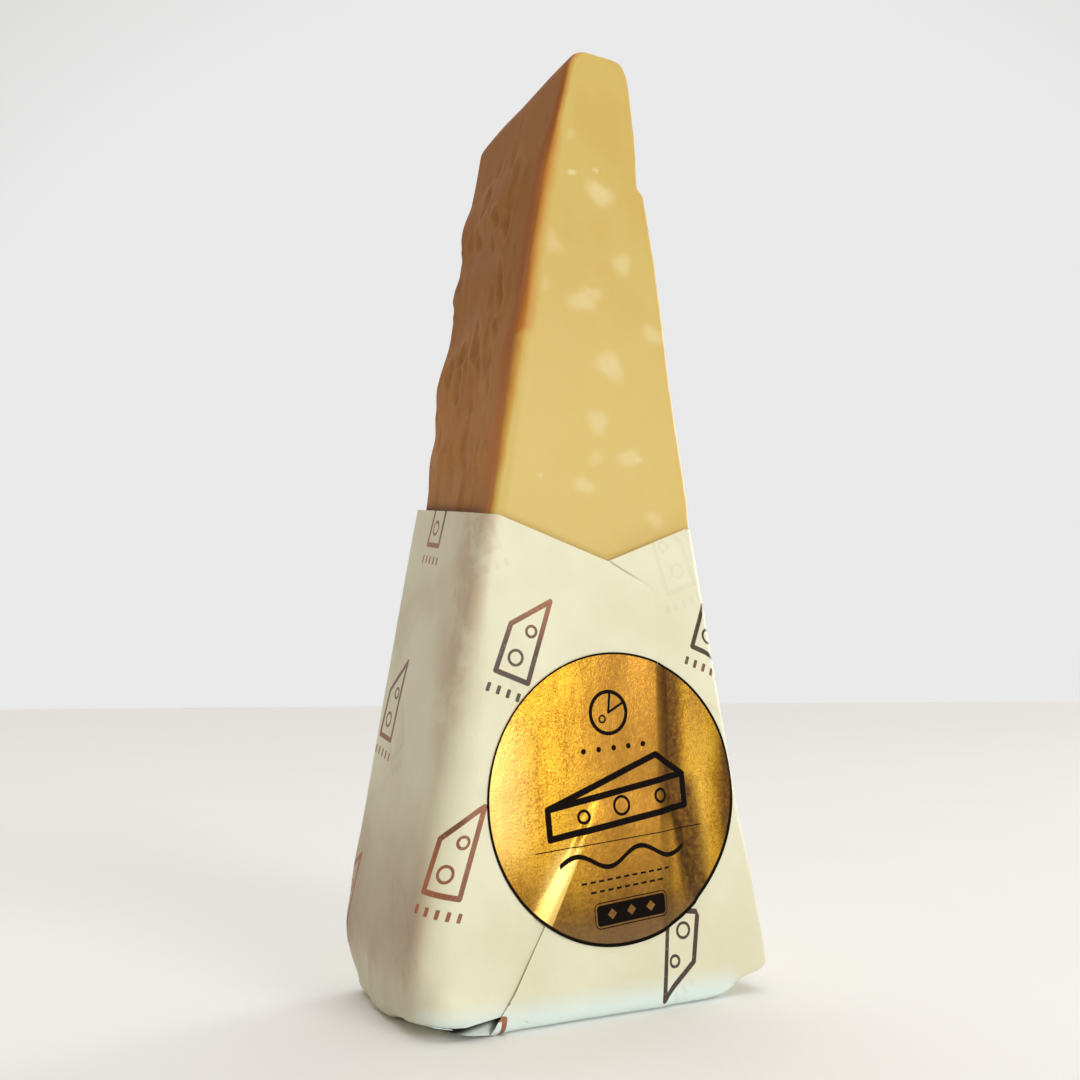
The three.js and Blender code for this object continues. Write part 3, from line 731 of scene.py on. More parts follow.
def make_base():
    """The folded underside of the wrap, just inside the sheet's turned edge."""
    depth, share = grid_shares(*BASE_GRID)
    y = mix(UNDER_Y + BASE_TUCK, WRAP_BACK_Y - BASE_TUCK, depth)
    inset = edge_inset(np.minimum(y - UNDER_Y, WRAP_BACK_Y - y), WRAP_EDGE_FOOT) + BASE_TUCK
    x = mix(rear_fold(-1, y, 0.0) + inset - wrap_half(-1, 0.0), wrap_half(1, 0.0) - inset, share)
    y = y + 0 * x
    z = BASE_LIFT + PAPER_THICK + heel_z(x, y)
    fold = np.abs(x - 1.0) - (WRAP_BACK_Y - np.abs(y))
    z = z + BASE_FOLD_STEP * smooth(0, 0.6, fold - BASE_FOLD_REACH)
    outer = stack(x, y, z)[:, ::-1]
    piece = sheet_piece("wrap_base", outer, PAPER_THICK, stack(x, y + 140)[:, ::-1])
    return piece


def make_tuck():
    """The folded-in layer that shows below the left panel's lower edge."""
    rows, share = grid_shares(*TUCK_GRID)
    x = mix(TUCK_LEFT, TUCK_RIGHT, share) + 0 * rows
    foot = heel_z(x, CUT_Y) + TUCK_LIFT
    edge = foot + along(LIP, x)
    z = mix(foot, edge + TUCK_HIDDEN, rows)
    corner = edge_inset(clamp(x + wrap_half(-1, 0.0) - BASE_ROUND, 0, 9), TURNS[-1][0])
    ends = 1.5 * smooth(-31, -36, x) + 1.8 * smooth(-25.5, -22.5, x) * (1 - rows)
    y = TUCK_Y + corner + TUCK_SLOPE * rows + ends + 0.1 * noise(x / 5, z / 3, TUCK_SEED)
    # painted shadow on the tuck just below the panel's edge
    gap = smooth(1.7, 0.7, edge - z)
    points = stack(x, y, z)
    piece = sheet_piece("wrap_tuck", points, PAPER_THICK, stack(x, z + 200), gap=gap)
    return piece


def flap_profile():
    """Cross-section of the flap: signed way up from the heel's edge, depth behind the front, height."""
    under = np.arange(-FLAP_UNDER, 0, 1.0)
    turn = quarter(8)
    radius = BASE_ROUND + BASE_LIFT
    up = np.arange(radius + FLAP_ROW, FLAP_TOP + 0.01, FLAP_ROW)
    way = join(under, turn / (math.pi / 2) * radius, up)
    back = join(radius - under, radius * (1 - np.sin(turn)), 0 * up)
    height = join(0 * under, radius * (1 - np.cos(turn)), up)
    return way, back, height


def flap_off(x, z):
    """The flap lies close to the panels, and its left edge stands off, most at the foot."""
    near = smooth(7, 0, x - along(FLAP_LEFT, z))
    wavy = 0.16 + 0.12 * noise(z / 4.0, 0.0, FLAP_SEED)
    return FLAP_OFF + near * (wavy * smooth(30, 14, z) + 0.55 * smooth(12, 2, z))


def make_flap():
    way, back, height = (column[:, None] for column in flap_profile())
    share = np.linspace(0, 1, FLAP_COLUMNS)[None, :]
    x = mix(along(FLAP_LEFT, way), along(FLAP_RIGHT, way), share)
    z = height + heel_lift(x, CUT_Y, height)
    front = front_stack_y(x, z) - flap_off(x, z)
    uv = stack(*turned((x - FLAP_PRINT_AT[0], way - FLAP_PRINT_AT[1]), FLAP_PRINT_TURN))
    piece = sheet_piece("wrap_flap", stack(x, front + back, z), PAPER_THICK, uv)
    return piece


# ---- the seal


def turned_back(x, z):
    """How far the paper has turned back at the right upright edge."""
    return edge_inset(wrap_half(1, z) - x, front_turn(1, z), SEAL_TURN_SHARE)


def seal_y(x, z):
    """Outer skin of the foil, which takes the shape of the paper's edges beneath it."""
    slope = mix(4.6, 1.6, smooth(16, 36, z))
    past_left = x - along(FLAP_LEFT, z)
    past_right = along(FLAP_RIGHT, z) - x
    on_flap = clamp(1 + past_left / slope) * clamp(1 + past_right / 2.0) * smooth(46, FLAP_TOP, z)
    below = front_stack_y(x, z) + turned_back(x, z)
    over_flap = (FLAP_OFF + SEAL_OFF_FLAP) * on_flap
    return below - SEAL_OFF - over_flap - waves(x, z, PILLOWS) * smooth(30, 24, x)


SEAL_GRID = 150  # points across


def make_seal():
    """The foil disc: a square grid pulled out to a circle."""
    a = np.linspace(-1, 1, SEAL_GRID)[None, :]
    b = np.linspace(-1, 1, SEAL_GRID)[:, None]
    across = SEAL_R * a * np.sqrt(1 - b * b / 2)
    up = SEAL_R * b * np.sqrt(1 - a * a / 2)
    x, z = SEAL_X + across, SEAL_Z + up
    outer = stack(x, seal_y(x, z), z)
    uv = stack(*turned((across, up), SEAL_TURN))
    piece = sheet_piece("foil_seal", outer, SEAL_THICK, uv, 60.0)
    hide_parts("gold_label")
    return piece


# ---- shader arithmetic


def rgb(red, green, blue):
    """A colour given in the usual 0 to 255 screen values, as shader light."""
    return tuple(((v / 255 + 0.055) / 1.055) ** 2.4 if v > 10 else v / 3295 for v in (red, green, blue))


class Term:
    """One number inside a shader tree. Arithmetic on it adds Math nodes."""

    def __init__(self, tree, socket):
        self.tree, self.socket = tree, socket

    def math(self, operation, *others):
        node = self.tree.nodes.new("ShaderNodeMath")
        node.operation = operation
        for entry, value in zip(node.inputs, (self, *others)):
            plug(self.tree, entry, value)
        return Term(self.tree, node.outputs[0])

    def __rsub__(self, other):
        return self.math("MULTIPLY", -1.0).math("ADD", other)

    def abs(self):
        return self.math("ABSOLUTE")

    def most(self, *others):
        for other in others:
            self = self.math("MAXIMUM", other)
        return self

    def repeat(self, period):
        """The number folded into -period/2 .. period/2."""
        return self.math("WRAP", -period / 2, period / 2)

    def step(self, low, high):
        """0 below low, 1 above high, smooth between them."""
        node = self.tree.nodes.new("ShaderNodeMapRange")
        node.interpolation_type = "SMOOTHSTEP"
        plug(self.tree, node.inputs["Value"], self)
        first, last = (low, high) if low < high else (high, low)
        node.inputs["From Min"].default_value = first
        node.inputs["From Max"].default_value = last
        node.inputs["To Min"].default_value = 0.0 if low < high else 1.0
        node.inputs["To Max"].default_value = 1.0 if low < high else 0.0
        return Term(self.tree, node.outputs["Result"])


def two_way(operation):
    return lambda self, other: self.math(operation, other)


for method, operation in (
    ("__add__", "ADD"), ("__radd__", "ADD"), ("__sub__", "SUBTRACT"), ("__mul__", "MULTIPLY"),
    ("__rmul__", "MULTIPLY"), ("__truediv__", "DIVIDE"), ("least", "MINIMUM"),
):
    setattr(Term, method, two_way(operation))


def plug(tree, entry, value):
    """Links a term or a socket, or sets a constant, on one input."""
    value = value.socket if isinstance(value, Term) else value
    if isinstance(value, bpy.types.NodeSocket):
        tree.links.new(value, entry)
    else:
        entry.default_value = value


def length(x, y):
    return (x * x + y * y).math("SQRT")


def to_segment(p, a, b):
    """Distance from a point to the line from a to b."""
    dx, dy = b[0] - a[0], b[1] - a[1]
    x, y = p[0] - a[0], p[1] - a[1]
    share = ((x * dx + y * dy) / (dx * dx + dy * dy)).most(0.0).least(1.0)
    return length(x - share * dx, y - share * dy)


def to_circle(p, centre, radius):
    """Distance from the line of a circle."""
    return (length(p[0] - centre[0], p[1] - centre[1]) - radius).abs()


def to_box(p, centre, half, corner):
    """Distance outside a box with round corners, negative inside it."""
    x = ((p[0] - centre[0]).abs() - (half[0] - corner)).most(0.0)
    y = ((p[1] - centre[1]).abs() - (half[1] - corner)).most(0.0)
    return length(x, y) - corner


def to_path(p, points):
    """Distance from a line through several points."""
    nearest = to_segment(p, points[0], points[1])
    for a, b in zip(points[1:], points[2:]):
        nearest = nearest.least(to_segment(p, a, b))
    return nearest


INK_EDGE = 0.05  # how soft the edge of a printed line is


def ink(distance, width):
    """1 inside a printed line of that width."""
    return distance.step(width / 2 + INK_EDGE, width / 2 - INK_EDGE)


def circle(p, centre, radius, width):
    """1 on the printed line of a circle."""
    return ink(to_circle(p, centre, radius), width)


def within(x, reach):
    """1 where x is no further than that from 0."""
    return ink(x.abs() - reach, 0.0)


class Nodes:
    """Makes the nodes of one tree."""

    def __init__(self, tree):
        self.tree = tree

    def node(self, kind, first=None, **values):
        """A node with these inputs or settings, and with a link or value on its first input."""
        node = self.tree.nodes.new("ShaderNode" + kind)
        for key, value in values.items():
            if key in node.inputs:
                plug(self.tree, node.inputs[key], value)
            else:
                setattr(node, key, value)
        if first is not None:
            plug(self.tree, node.inputs[0], first)
        return node

    def ramp(self, share, stops):
        node = self.node("ValToRGB", share)
        line = node.color_ramp
        for k, (at, colour) in enumerate(stops):
            stop = line.elements[k] if k < 2 else line.elements.new(at)
            stop.position = at
            stop.color = (*colour, 1.0)
        return node.outputs["Color"]


class Look(Nodes):
    """A material being put together."""

    def __init__(self, name):
        self.material = bpy.data.materials.new(name)
        self.material.use_nodes = True
        super().__init__(self.material.node_tree)
        self.shader = self.tree.nodes["Principled BSDF"]
        self.place = self.scaled(self.node("TexCoord").outputs["Object"], 1 / MM)  # on the object, in mm

    def term(self, socket):
        return Term(self.tree, socket)

    def scaled(self, vector, factor):
        return self.node("VectorMath", vector, operation="SCALE", Scale=factor).outputs[0]

    def parts(self, vector):
        split = self.node("SeparateXYZ", Vector=vector)
        return tuple(self.term(out) for out in split.outputs)

    def sheet_place(self):
        """Place on a flat sheet, in mm, as two terms."""
        return self.parts(self.scaled(self.node("UVMap", uv_map="sheet").outputs["UV"], UV_MM))[:2]

    def noise(self, size, detail=2.0, roughness=0.5, stretch=(1, 1, 1)):
        """Noise with features of that size in mm."""
        spread = self.node("Mapping", self.place, Scale=tuple(k / size for k in stretch)).outputs["Vector"]
        made = self.node("TexNoise", spread, Scale=1.0, Detail=detail, Roughness=roughness)
        return self.term(made.outputs["Fac"])

    def attribute(self, name):
        return self.term(self.node("Attribute", attribute_name=name).outputs["Fac"])

    def blend(self, share, low, high):
        """Colour between low and high, each a colour or a socket."""
        node = self.node("Mix", data_type="RGBA")
        plug(self.tree, node.inputs["Factor"], share)
        for name, value in (("A", low), ("B", high)):
            entry = [i for i in node.inputs if i.name == name and i.type == "RGBA"][0]
            plug(self.tree, entry, (*value, 1.0) if isinstance(value, tuple) else value)
        return [o for o in node.outputs if o.type == "RGBA"][0]

    def coats(self, colour, *coats):
        """A colour with others laid over it in turn, each given as its share and itself."""
        for share, over in coats:
            colour = self.blend(share, colour, over)
        return colour

    def bump(self, height, distance, under=None):
        node = self.node("Bump", Distance=distance * MM, Strength=1.0, Height=height)
        if under is not None:
            plug(self.tree, node.inputs["Normal"], under)
        return node.outputs["Normal"]

    def set(self, **values):
        for key, value in values.items():
            plug(self.tree, self.shader.inputs[key.replace("_", " ")], value)


# ---- materials

CUT_YELLOW = rgb(206, 181, 102)
CUT_TAN = rgb(204, 175, 96)
CUT_PALE = rgb(215, 192, 118)  # the cheese gets paler towards the paper
# painted shade on the cut face just above the paper's mouth
CUT_RIM_SHADE = rgb(190, 148, 74)
BREAK_PIT_SHADE = rgb(199, 157, 85)  # painted shade in the pits between the grains of a broken face
BREAK_TOP_LIGHT = rgb(227, 203, 142)  # and painted light on the grains' tops
CRYSTAL_PALE = rgb(226, 211, 160)
RIND_BROWN = rgb(180, 124, 64)
RIND_DARK = rgb(168, 112, 56)
RIND_HIGH = rgb(158, 106, 54)  # the rind gets darker towards the tip
# darker mottling of the rind, also used for painted shade in its dents
RIND_MOTTLE_AND_DENT_SHADE = rgb(138, 84, 42)
# painted highlight on the raised rims round the dents
RIND_RIDGE_HIGHLIGHT = rgb(196, 146, 88)
# painted shadow on the rind just above the paper's mouth
RIND_RIM_SHADE = rgb(104, 62, 34)
EDGE_REACH = 3.4  # width of the amber edge that a cut face has along the rind, in mm
EDGE_STOPS = (  # its colours, as shares of that width
    (0.0, rgb(184, 122, 58)),
    (0.35, rgb(197, 146, 70)),
    (0.65, rgb(202, 164, 84)),
    (1.0, CUT_YELLOW),
)
GLOW_REACH = 9.0  # painted glow of light passing through the corner: next to the cut the rind is painted warmer and clearer, to this depth in mm
GLOW_STOPS = (
    (0.0, rgb(184, 119, 52)),
    (0.14, rgb(176, 107, 38)),
    (0.32, rgb(162, 93, 33)),
    (0.58, rgb(156, 89, 35)),
    (1.0, rgb(168, 109, 54)),
)
GLOW_LOW = rgb(194, 124, 60)  # the painted glow is brighter low down
GLOW_FADE_Z = (178.0, 200.0)  # it fades out towards the tip
PALE_Z = (185.0, 112.0)  # from here down to here the cut face turns pale
EDGE_WANDER = 1.6  # the edges of amber and brown wander by this, in mm


def cheese_look():
    look = Look("aged_cheese")
    x, y, z = look.parts(look.place)
    under, crystal, relief, above_rim, dented = (
        look.attribute(name) for name in ("under_rind", "crystal", "break", "above_rim", "dent")
    )
    patches = look.noise(15)
    mottled = look.noise(1.8, 3.0, 0.6)
    # painted shadow and shade on the cheese just above the paper's mouth
    rim_shadow, rim_shade_reach = above_rim.step(2.2, 0.0), above_rim.step(8.0, 0.0)
    cut = look.coats(
        look.blend(patches.step(0.36, 0.64), CUT_YELLOW, CUT_TAN),
        (z.step(*PALE_Z) * (0.55 + patches * 0.5), CUT_PALE),
        (crystal * (0.52 + mottled * 0.5), CRYSTAL_PALE),
        # painted shade in the pits of the broken faces, painted light on their grains' tops
        (relief.step(-0.02, -0.35) * 0.6, BREAK_PIT_SHADE),
        (relief.step(0.12, 0.45) * 0.5, BREAK_TOP_LIGHT),
        (rim_shadow * 0.45 + rim_shade_reach * x.step(-4.0, 12.0) * 0.25, CUT_RIM_SHADE),
    )
    wander = (look.noise(6) - 0.5) * EDGE_WANDER
    narrower = z.step(135.0, 104.0) + z.step(180.0, 196.0) * 0.9 + 1.0
    edge = look.ramp((under + wander) * narrower / EDGE_REACH, EDGE_STOPS)
    inside = look.blend(under.step(EDGE_REACH * 1.3, EDGE_REACH * 0.8), cut, edge)
    streaks = look.noise(5.0, 4.0, 0.6, (1, 1, 0.28))
    blotches = look.noise(2.6, 3.0, 0.6, (1, 1, 0.5))
    behind = y - CUT_Y + wander + z.step(*GLOW_FADE_Z) * GLOW_REACH * 0.5
    glow = look.ramp(behind / GLOW_REACH, GLOW_STOPS)
    rind = look.coats(
        look.blend(streaks.step(0.30, 0.70), RIND_DARK, RIND_BROWN),
        (z.step(118.0, 168.0), RIND_HIGH),
        (blotches.step(0.52, 0.75) * 0.5, RIND_MOTTLE_AND_DENT_SHADE),
        # painted shade in the dents, painted highlight on their rims
        (dented * 0.4, RIND_MOTTLE_AND_DENT_SHADE),
        (dented.step(-0.02, -0.25) * 0.14, RIND_RIDGE_HIGHLIGHT),
        (rim_shadow * 0.6, RIND_RIM_SHADE),
        # painted glow of light passing through the corner next to the cut
        (behind.step(GLOW_REACH, GLOW_REACH * 0.5), look.blend(z.step(150.0, 118.0) * 0.55, glow, GLOW_LOW)),
    )
    on_rind = under.step(0.8, 0.2)
    grain = look.noise(0.9, 4.0, 0.6)
    waxy = look.noise(7.0)
    look.set(
        Base_Color=look.blend(on_rind, inside, rind),
        Roughness=0.40 + on_rind * 0.16 + (waxy - 0.5) * 0.15,
        Normal=look.bump(waxy, 0.20, look.bump(grain, 0.012)),
        IOR=1.45,
        Specular_IOR_Level=0.22,
        Subsurface_Weight=0.18,
        Subsurface_Radius=(1.0, 0.55, 0.25),
        Subsurface_Scale=0.003,
    )
    return look.material


PAPER_CREAM = rgb(234, 234, 204)
PAPER_SHADE = rgb(225, 222, 190)
PAPER_TAUPE = rgb(196, 168, 138)  # paper darkened by the rind that it touches, and painted shade low on the left side
PAPER_LEFT_SHADE = rgb(150, 130, 106)  # painted shade low on the left side and in the crumpled corner at the foot
PAPER_CORNER_TAUPE = rgb(194, 164, 134)  # darker taupe patches on the left side beside the front corner
PAPER_COOL_LIGHT = rgb(226, 245, 246)  # painted cool light reflected along the foot of the front
SEAM_Z, SEAM_SLOPE = 92.85, 0.5  # the left panel's mouth edge runs on over the right panel; a painted shadow line runs along it
PAPER_GAP_SHADOW = rgb(34, 26, 20)  # painted shadow deep in the fold under the left panel
INK_COPPER = rgb(166, 100, 64)
# dark print, also the colour of the painted shadow along the seam
DARK_INK_AND_SHADOW = rgb(62, 38, 29)
PRINT_CELL = (43.0, 43.0)  # one motif on each such piece of paper
PRINT_TILT = math.radians(-20.0)
# The motif, in mm from its middle: outline of the wedge, holes (x, y, radius), row of bars below.
MOTIF_LINE, MOTIF_OUTLINE = 1.1, ((-4.2, -8.5), (-4.2, 1.5), (2.6, 9.0), (3.4, -8.5), (-4.2, -8.5))
HOLE_LINE, MOTIF_HOLES = 0.6, ((-0.9, -4.6, 1.5), (0.6, 1.6, 1.1))
BARS_Y, BAR_APART, BAR_HALF, BARS_REACH = -11.9, 2.3, (0.42, 0.9), 5.7
GHOST_SHIFT, GHOST_SHARE = (13.0, 21.0), 0.06  # the print of the layer below shows through
LEFT_TINT_REF_Z = 98.0  # the left side's tints and painted shade keep their distance from the left edge, which leans out below this


def paper_motif(p):
    """A tall outlined wedge with two round holes, and a row of short bars below it."""
    outline = ink(to_path(p, MOTIF_OUTLINE), MOTIF_LINE)
    first, second = (circle(p, (cx, cy), radius, HOLE_LINE) for cx, cy, radius in MOTIF_HOLES)
    bars = ink(to_box((p[0].repeat(BAR_APART), p[1]), (0.0, BARS_Y), BAR_HALF, 0.2), 0.0)
    return outline.most(first.most(second), bars * within(p[0], BARS_REACH))


def paper_print(u, v):
    """The motif on a staggered, tilted layout."""
    a, b = turned((u, v), PRINT_TILT)
    column = (a / PRINT_CELL[0] + 0.5).math("FLOOR")
    shifted = b + column * (PRINT_CELL[1] * 0.5)
    return paper_motif((a.repeat(PRINT_CELL[0]), shifted.repeat(PRINT_CELL[1])))


def paper_look():
    look = Look("greaseproof_paper")
    x, y, z = look.parts(look.place)
    u, v = look.sheet_place()
    clouds = look.noise(24, 3.0)
    fibre = look.noise(0.7, 4.0, 0.65)
    front_edge = y - UNDER_Y
    half = (LEFT_TINT_REF_Z - z) * WRAP_LEAN_LEFT
    from_left = x + half
    single = (x.abs() - half).step(23.5, 27.5)
    touching = look.noise(26, 3.0, 0.6)
    # the rind showing through the single layer, with painted shade towards the foot
    show_and_shade = single * (0.20 + touching.step(0.42, 0.66) * 0.26 + z.step(52.0, 0.0) * 0.62)
    # painted shade low on the left side wall, and in the crumpled corner at the foot
    left_shade = from_left.step(-25.2, -27.2) * z.step(50.0, 18.0)
    ragged_foot = (look.noise(5.0) - 0.5) * 5.0
    corner = (from_left + ragged_foot).step(-19.0, -24.0) * z.step(15.0, 4.0)
    by_corner = front_edge.step(17.0, 6.0) * z.step(46.0, 66.0) * from_left.step(-23.5, -28.0)
    ragged = look.noise(11, 4.0, 0.65)
    seam_shadow = (z - SEAM_Z + x * SEAM_SLOPE).abs().step(0.5, 0.0) * x.step(MOUTH_V_X, 2.5) * x.step(12.0, 5.0)
    # painted cool reflected light along the foot of the front
    cool_light = z.step(7.5, 1.5) * front_edge.step(7.0, 1.0) * from_left.step(-42.0, -30.0) * x.step(34.0, 29.0)
    ghost = paper_print(u * -1.0 + GHOST_SHIFT[0], v + GHOST_SHIFT[1])
    paper = look.coats(
        look.blend(clouds.step(0.3, 0.7), PAPER_CREAM, PAPER_SHADE),
        (show_and_shade, PAPER_TAUPE),
        (left_shade * 0.42, PAPER_LEFT_SHADE),
        (corner * 0.30, PAPER_LEFT_SHADE),
        (by_corner * ragged.step(0.34, 0.58) * 0.7, PAPER_CORNER_TAUPE),
        # painted shadow line where the left panel's mouth edge runs over the right panel
        (seam_shadow * front_edge.step(4.0, 1.0) * 0.55, DARK_INK_AND_SHADOW),
        (cool_light * 0.8, PAPER_COOL_LIGHT),
        (ghost * GHOST_SHARE, DARK_INK_AND_SHADOW),
        # painted shadow in the gap under the left panel
        (look.attribute("gap"), PAPER_GAP_SHADOW),
    )
    printed = paper_print(u, v)
    worn = look.noise(0.5).step(0.25, 0.42)
    tone = look.blend(look.noise(34, 1.0).step(0.42, 0.58), INK_COPPER, DARK_INK_AND_SHADOW)
    covered = printed * (0.80 + worn * 0.18)
    crinkle = look.noise(5.0, 3.0, 0.6)
    look.set(
        Base_Color=look.blend(covered, paper, tone),
        Roughness=0.50 - covered * 0.10 + (fibre - 0.5) * 0.12,
        Metallic=covered * 0.35,
        Normal=look.bump(crinkle, 0.22, look.bump(fibre, 0.02)),
        Subsurface_Weight=0.08,
        Subsurface_Radius=(1.0, 0.9, 0.7),
        Subsurface_Scale=0.002,
        Sheen_Weight=0.05,
    )
    return look.material


FOIL_GOLD = rgb(207, 161, 48)
FOIL_DEEP = rgb(150, 98, 26)
# painted tan reflection across the middle of the foil
FOIL_TAN_REFLECTION = rgb(151, 106, 44)
# painted dark reflections in streaks, creases and at the rim
FOIL_DARK_REFLECTION = rgb(80, 51, 26)
FOIL_FOOT_SHADE = rgb(116, 95, 68)  # painted shade along its foot
# painted highlight on the foil's bright facet and left side
FOIL_HIGHLIGHT = rgb(246, 214, 130)
FOIL_INK = rgb(16, 11, 8)
WEDGE_ICON = (  # outline of the big wedge drawn on the seal, in mm from its middle
    ((-16.5, -0.6), (10.0, 7.4), (16.5, 2.6), (-16.5, -0.6)),
    ((-16.5, -0.6), (-16.5, -6.4), (16.5, -4.0), (16.5, 2.6)),
)
WEDGE_HOLES = ((-8.5, -3.0, 1.2), (0.5, -1.9, 1.8), (10.3, -1.2, 1.3))
WEDGE_LINE, WAVE_LINE, FINE_LINE = 1.35, 1.0, 0.22
WHEEL_CENTRE = (-0.5, 17.2)
WHEEL_R = 4.3
DASH_ROWS = ((-16.0, 11.0), (-18.0, 9.0))  # height, half length


def wheel_icon(p):
    """A small cheese wheel seen from above, with one slice marked."""
    cx, cy = WHEEL_CENTRE
    mark = circle(p, WHEEL_CENTRE, WHEEL_R, 0.8)
    for degrees in (25, 80):
        tip = (cx + WHEEL_R * math.cos(math.radians(degrees)), cy + WHEEL_R * math.sin(math.radians(degrees)))
        mark = mark.most(ink(to_segment(p, WHEEL_CENTRE, tip), 0.55))
    return mark.most(circle(p, (cx - 1.6, cy - 1.2), 0.7, 0.4))


def seal_print(p):
    """All the dark printing on the seal."""
    x, y = p
    edge_shadow = (x * 0.5 - y * 0.6) / SEAL_R * 0.25  # the rim's printed line is drawn heavier below and on the right, as painted shadow under the foil's edge
    rim = ink((length(x, y) - (SEAL_R - 0.2)).abs() - edge_shadow, 0.75)
    beads = ink(length(x.repeat(3.6), y - 9.9), 1.15) * within(x, 8.6)
    wedge = [ink(to_path(p, line), WEDGE_LINE) for line in WEDGE_ICON]
    holes = [circle(p, (cx, cy), radius, HOLE_LINE) for cx, cy, radius in WEDGE_HOLES]
    rule = ink(to_segment(p, (-20.0, -8.6), (20.0, -8.6)), FINE_LINE)
    wave = y + 12.0 - (x * 0.42).math("SINE") * 1.5
    wave = ink(wave.abs(), WAVE_LINE) * within(x, 14.9)
    dashes = [
        ink(to_box((x.repeat(2.0), y), (0.0, row), (0.62, 0.22), 0.1), 0.0) * within(x, reach)
        for row, reach in DASH_ROWS
    ]
    plate = to_box(p, (0.5, -22.8), (8.6, 2.5), 1.2)
    lozenge = ((x - 0.5).repeat(4.6).abs() + (y + 22.8).abs()) * 0.7 - 0.75
    inside = ink(plate + 0.45, 0.0) * (1 - ink(lozenge, 0.0) * within(x - 0.5, 6.9))
    rows = (wheel_icon(p), beads, *wedge, *holes, rule, wave, *dashes, inside)
    return rim.most(*rows, ink(plate.abs(), FINE_LINE))


def foil_painted_light(p):
    """Painted light on the crumpled foil, place by place: tan and dark reflections and a pale highlight,
    three terms from 0 to 1.
    """
    x, y = turned(p, -SEAL_TURN)
    middle = x.step(-15.0, 0.0) * x.step(17.0, 10.0)
    lower_left = (x * 0.6 + y).step(-18.0, -32.0) * 0.5
    upright = (x - 13.8).abs().step(4.4, 0.8) * y.step(-8.0, 0.0)
    crease = to_segment((x, y), (15.4, 0.0), (19.2, -21.5)).step(6.2, 2.0)
    crease = crease * (x - 12.4 + y * 0.14).step(-1.2, 0.8)
    rim = x.step(24.0, 27.6) * y.abs().step(20.0, 8.0)
    foot = y.step(-9.0, -27.0)
    fold = to_segment((x, y), (-9.0, -10.0), (-17.2, -26.5))
    left_of = (x + 9.0 - (y + 10.0) * 0.497).step(0.35, 0.0)
    facet = fold.step(6.5, 2.0) * left_of * y.step(-7.0, -14.0)
    left = x.step(-17.0, -28.0) * (y - 2.0).abs().step(19.0, 6.0)
    band = (x - 20.5).abs().step(4.0, 1.5) * 0.12
    dark_reflection = upright.most(crease, rim * 0.95, foot * 0.8) * (1 - facet)
    return middle.most(lower_left), dark_reflection, (facet * 0.9).most(left * 0.8, band)


def foil_look():
    look = Look("gold_foil")
    sheet = look.sheet_place()
    printed = seal_print(sheet)
    tan_reflection, dark_reflection, highlight = foil_painted_light(sheet)
    speckle = look.noise(0.42, 2.0, 0.6)
    coarse = look.noise(1.1, 2.0, 0.6)
    patches = look.noise(8.0, 3.0, 0.6)
    brushed = look.noise(1.5, 2.0, 0.5, (1, 1, 0.10))
    tone = (speckle - 0.5) * 1.7 + (coarse - 0.5) * 0.6 + (patches - 0.5) * 0.7 + (brushed - 0.5) * 0.5
    gold = look.coats(
        look.blend((tone + 0.42).step(0.05, 0.95), FOIL_GOLD, FOIL_DEEP),
        # painted reflections, highlight and foot shade on the foil
        (tan_reflection * (0.78 + (coarse - 0.5) * 0.8), FOIL_TAN_REFLECTION),
        (highlight * 0.7, FOIL_HIGHLIGHT),
        (dark_reflection * (0.88 + (coarse - 0.5) * 0.6), FOIL_DARK_REFLECTION),
        (sheet[1].step(-19.0, -28.0) * 0.6, FOIL_FOOT_SHADE),
    )
    look.set(
        Base_Color=look.blend(printed, gold, FOIL_INK),
        Metallic=0.95,
        Roughness=0.33 + (speckle - 0.5) * 0.3 + printed * 0.15,
        Normal=look.bump(patches, 0.12, look.bump(speckle, 0.04)),
    )
    return look.material


def floor_look():
    look = Look("pale_floor")
    clouds = look.noise(90, 2.0)
    colour = look.blend(clouds, rgb(249, 249, 248), rgb(246, 247, 246))
    look.set(Base_Color=colour, Roughness=0.85)
    return look.material


# ---- camera, light, floor

CAMERA_AT = (-115.32, -215.72, 63.01)
# Degrees: turned from +Y towards +X, up, and round its own axis.
CAMERA_TURN, CAMERA_PITCH, CAMERA_ROLL = 27.366, 8.486, -0.443
CAMERA_LENS, SENSOR, NEAR_CLIP = 35.586, 36.0, 0.01

FLOOR_CORNERS = 96
FLOOR_RINGS = (60.0, 250.0, 900.0, 3000.0, 12000.0)
# The soft key light: where it is and what it is turned to, its width and height, power and colour.
KEY_AT, KEY_AIM, KEY_SIZE = (500, -1935, 560), (0, 0, 100), (800, 1100)
KEY_POWER, KEY_COLOUR = 21.0, (1.0, 0.98, 0.95)
# Soft distant lights: name, where from, strength, spread in degrees, colour.
DISTANT_LIGHTS = (
    ("top", (0.0, 0.0, 1.0), 1.2, 60.0, (1.0, 1.0, 1.0)),
    ("side", (1.0, 0.3, 0.24), 0.85, 24.0, (1.0, 0.99, 0.97)),
    ("left", (-1.0, 0.15, 0.06), 0.26, 50.0, (1.0, 0.93, 0.82)),
)

STUDIO_BRIGHT_SIDE = (0.50, 0.866, 0.0)  # the direction in which the studio is brightest
STUDIO_STOPS = ((0.66, (0.27, 0.235, 0.20)), (0.90, (0.82, 0.82, 0.82)))  # place along it, colour


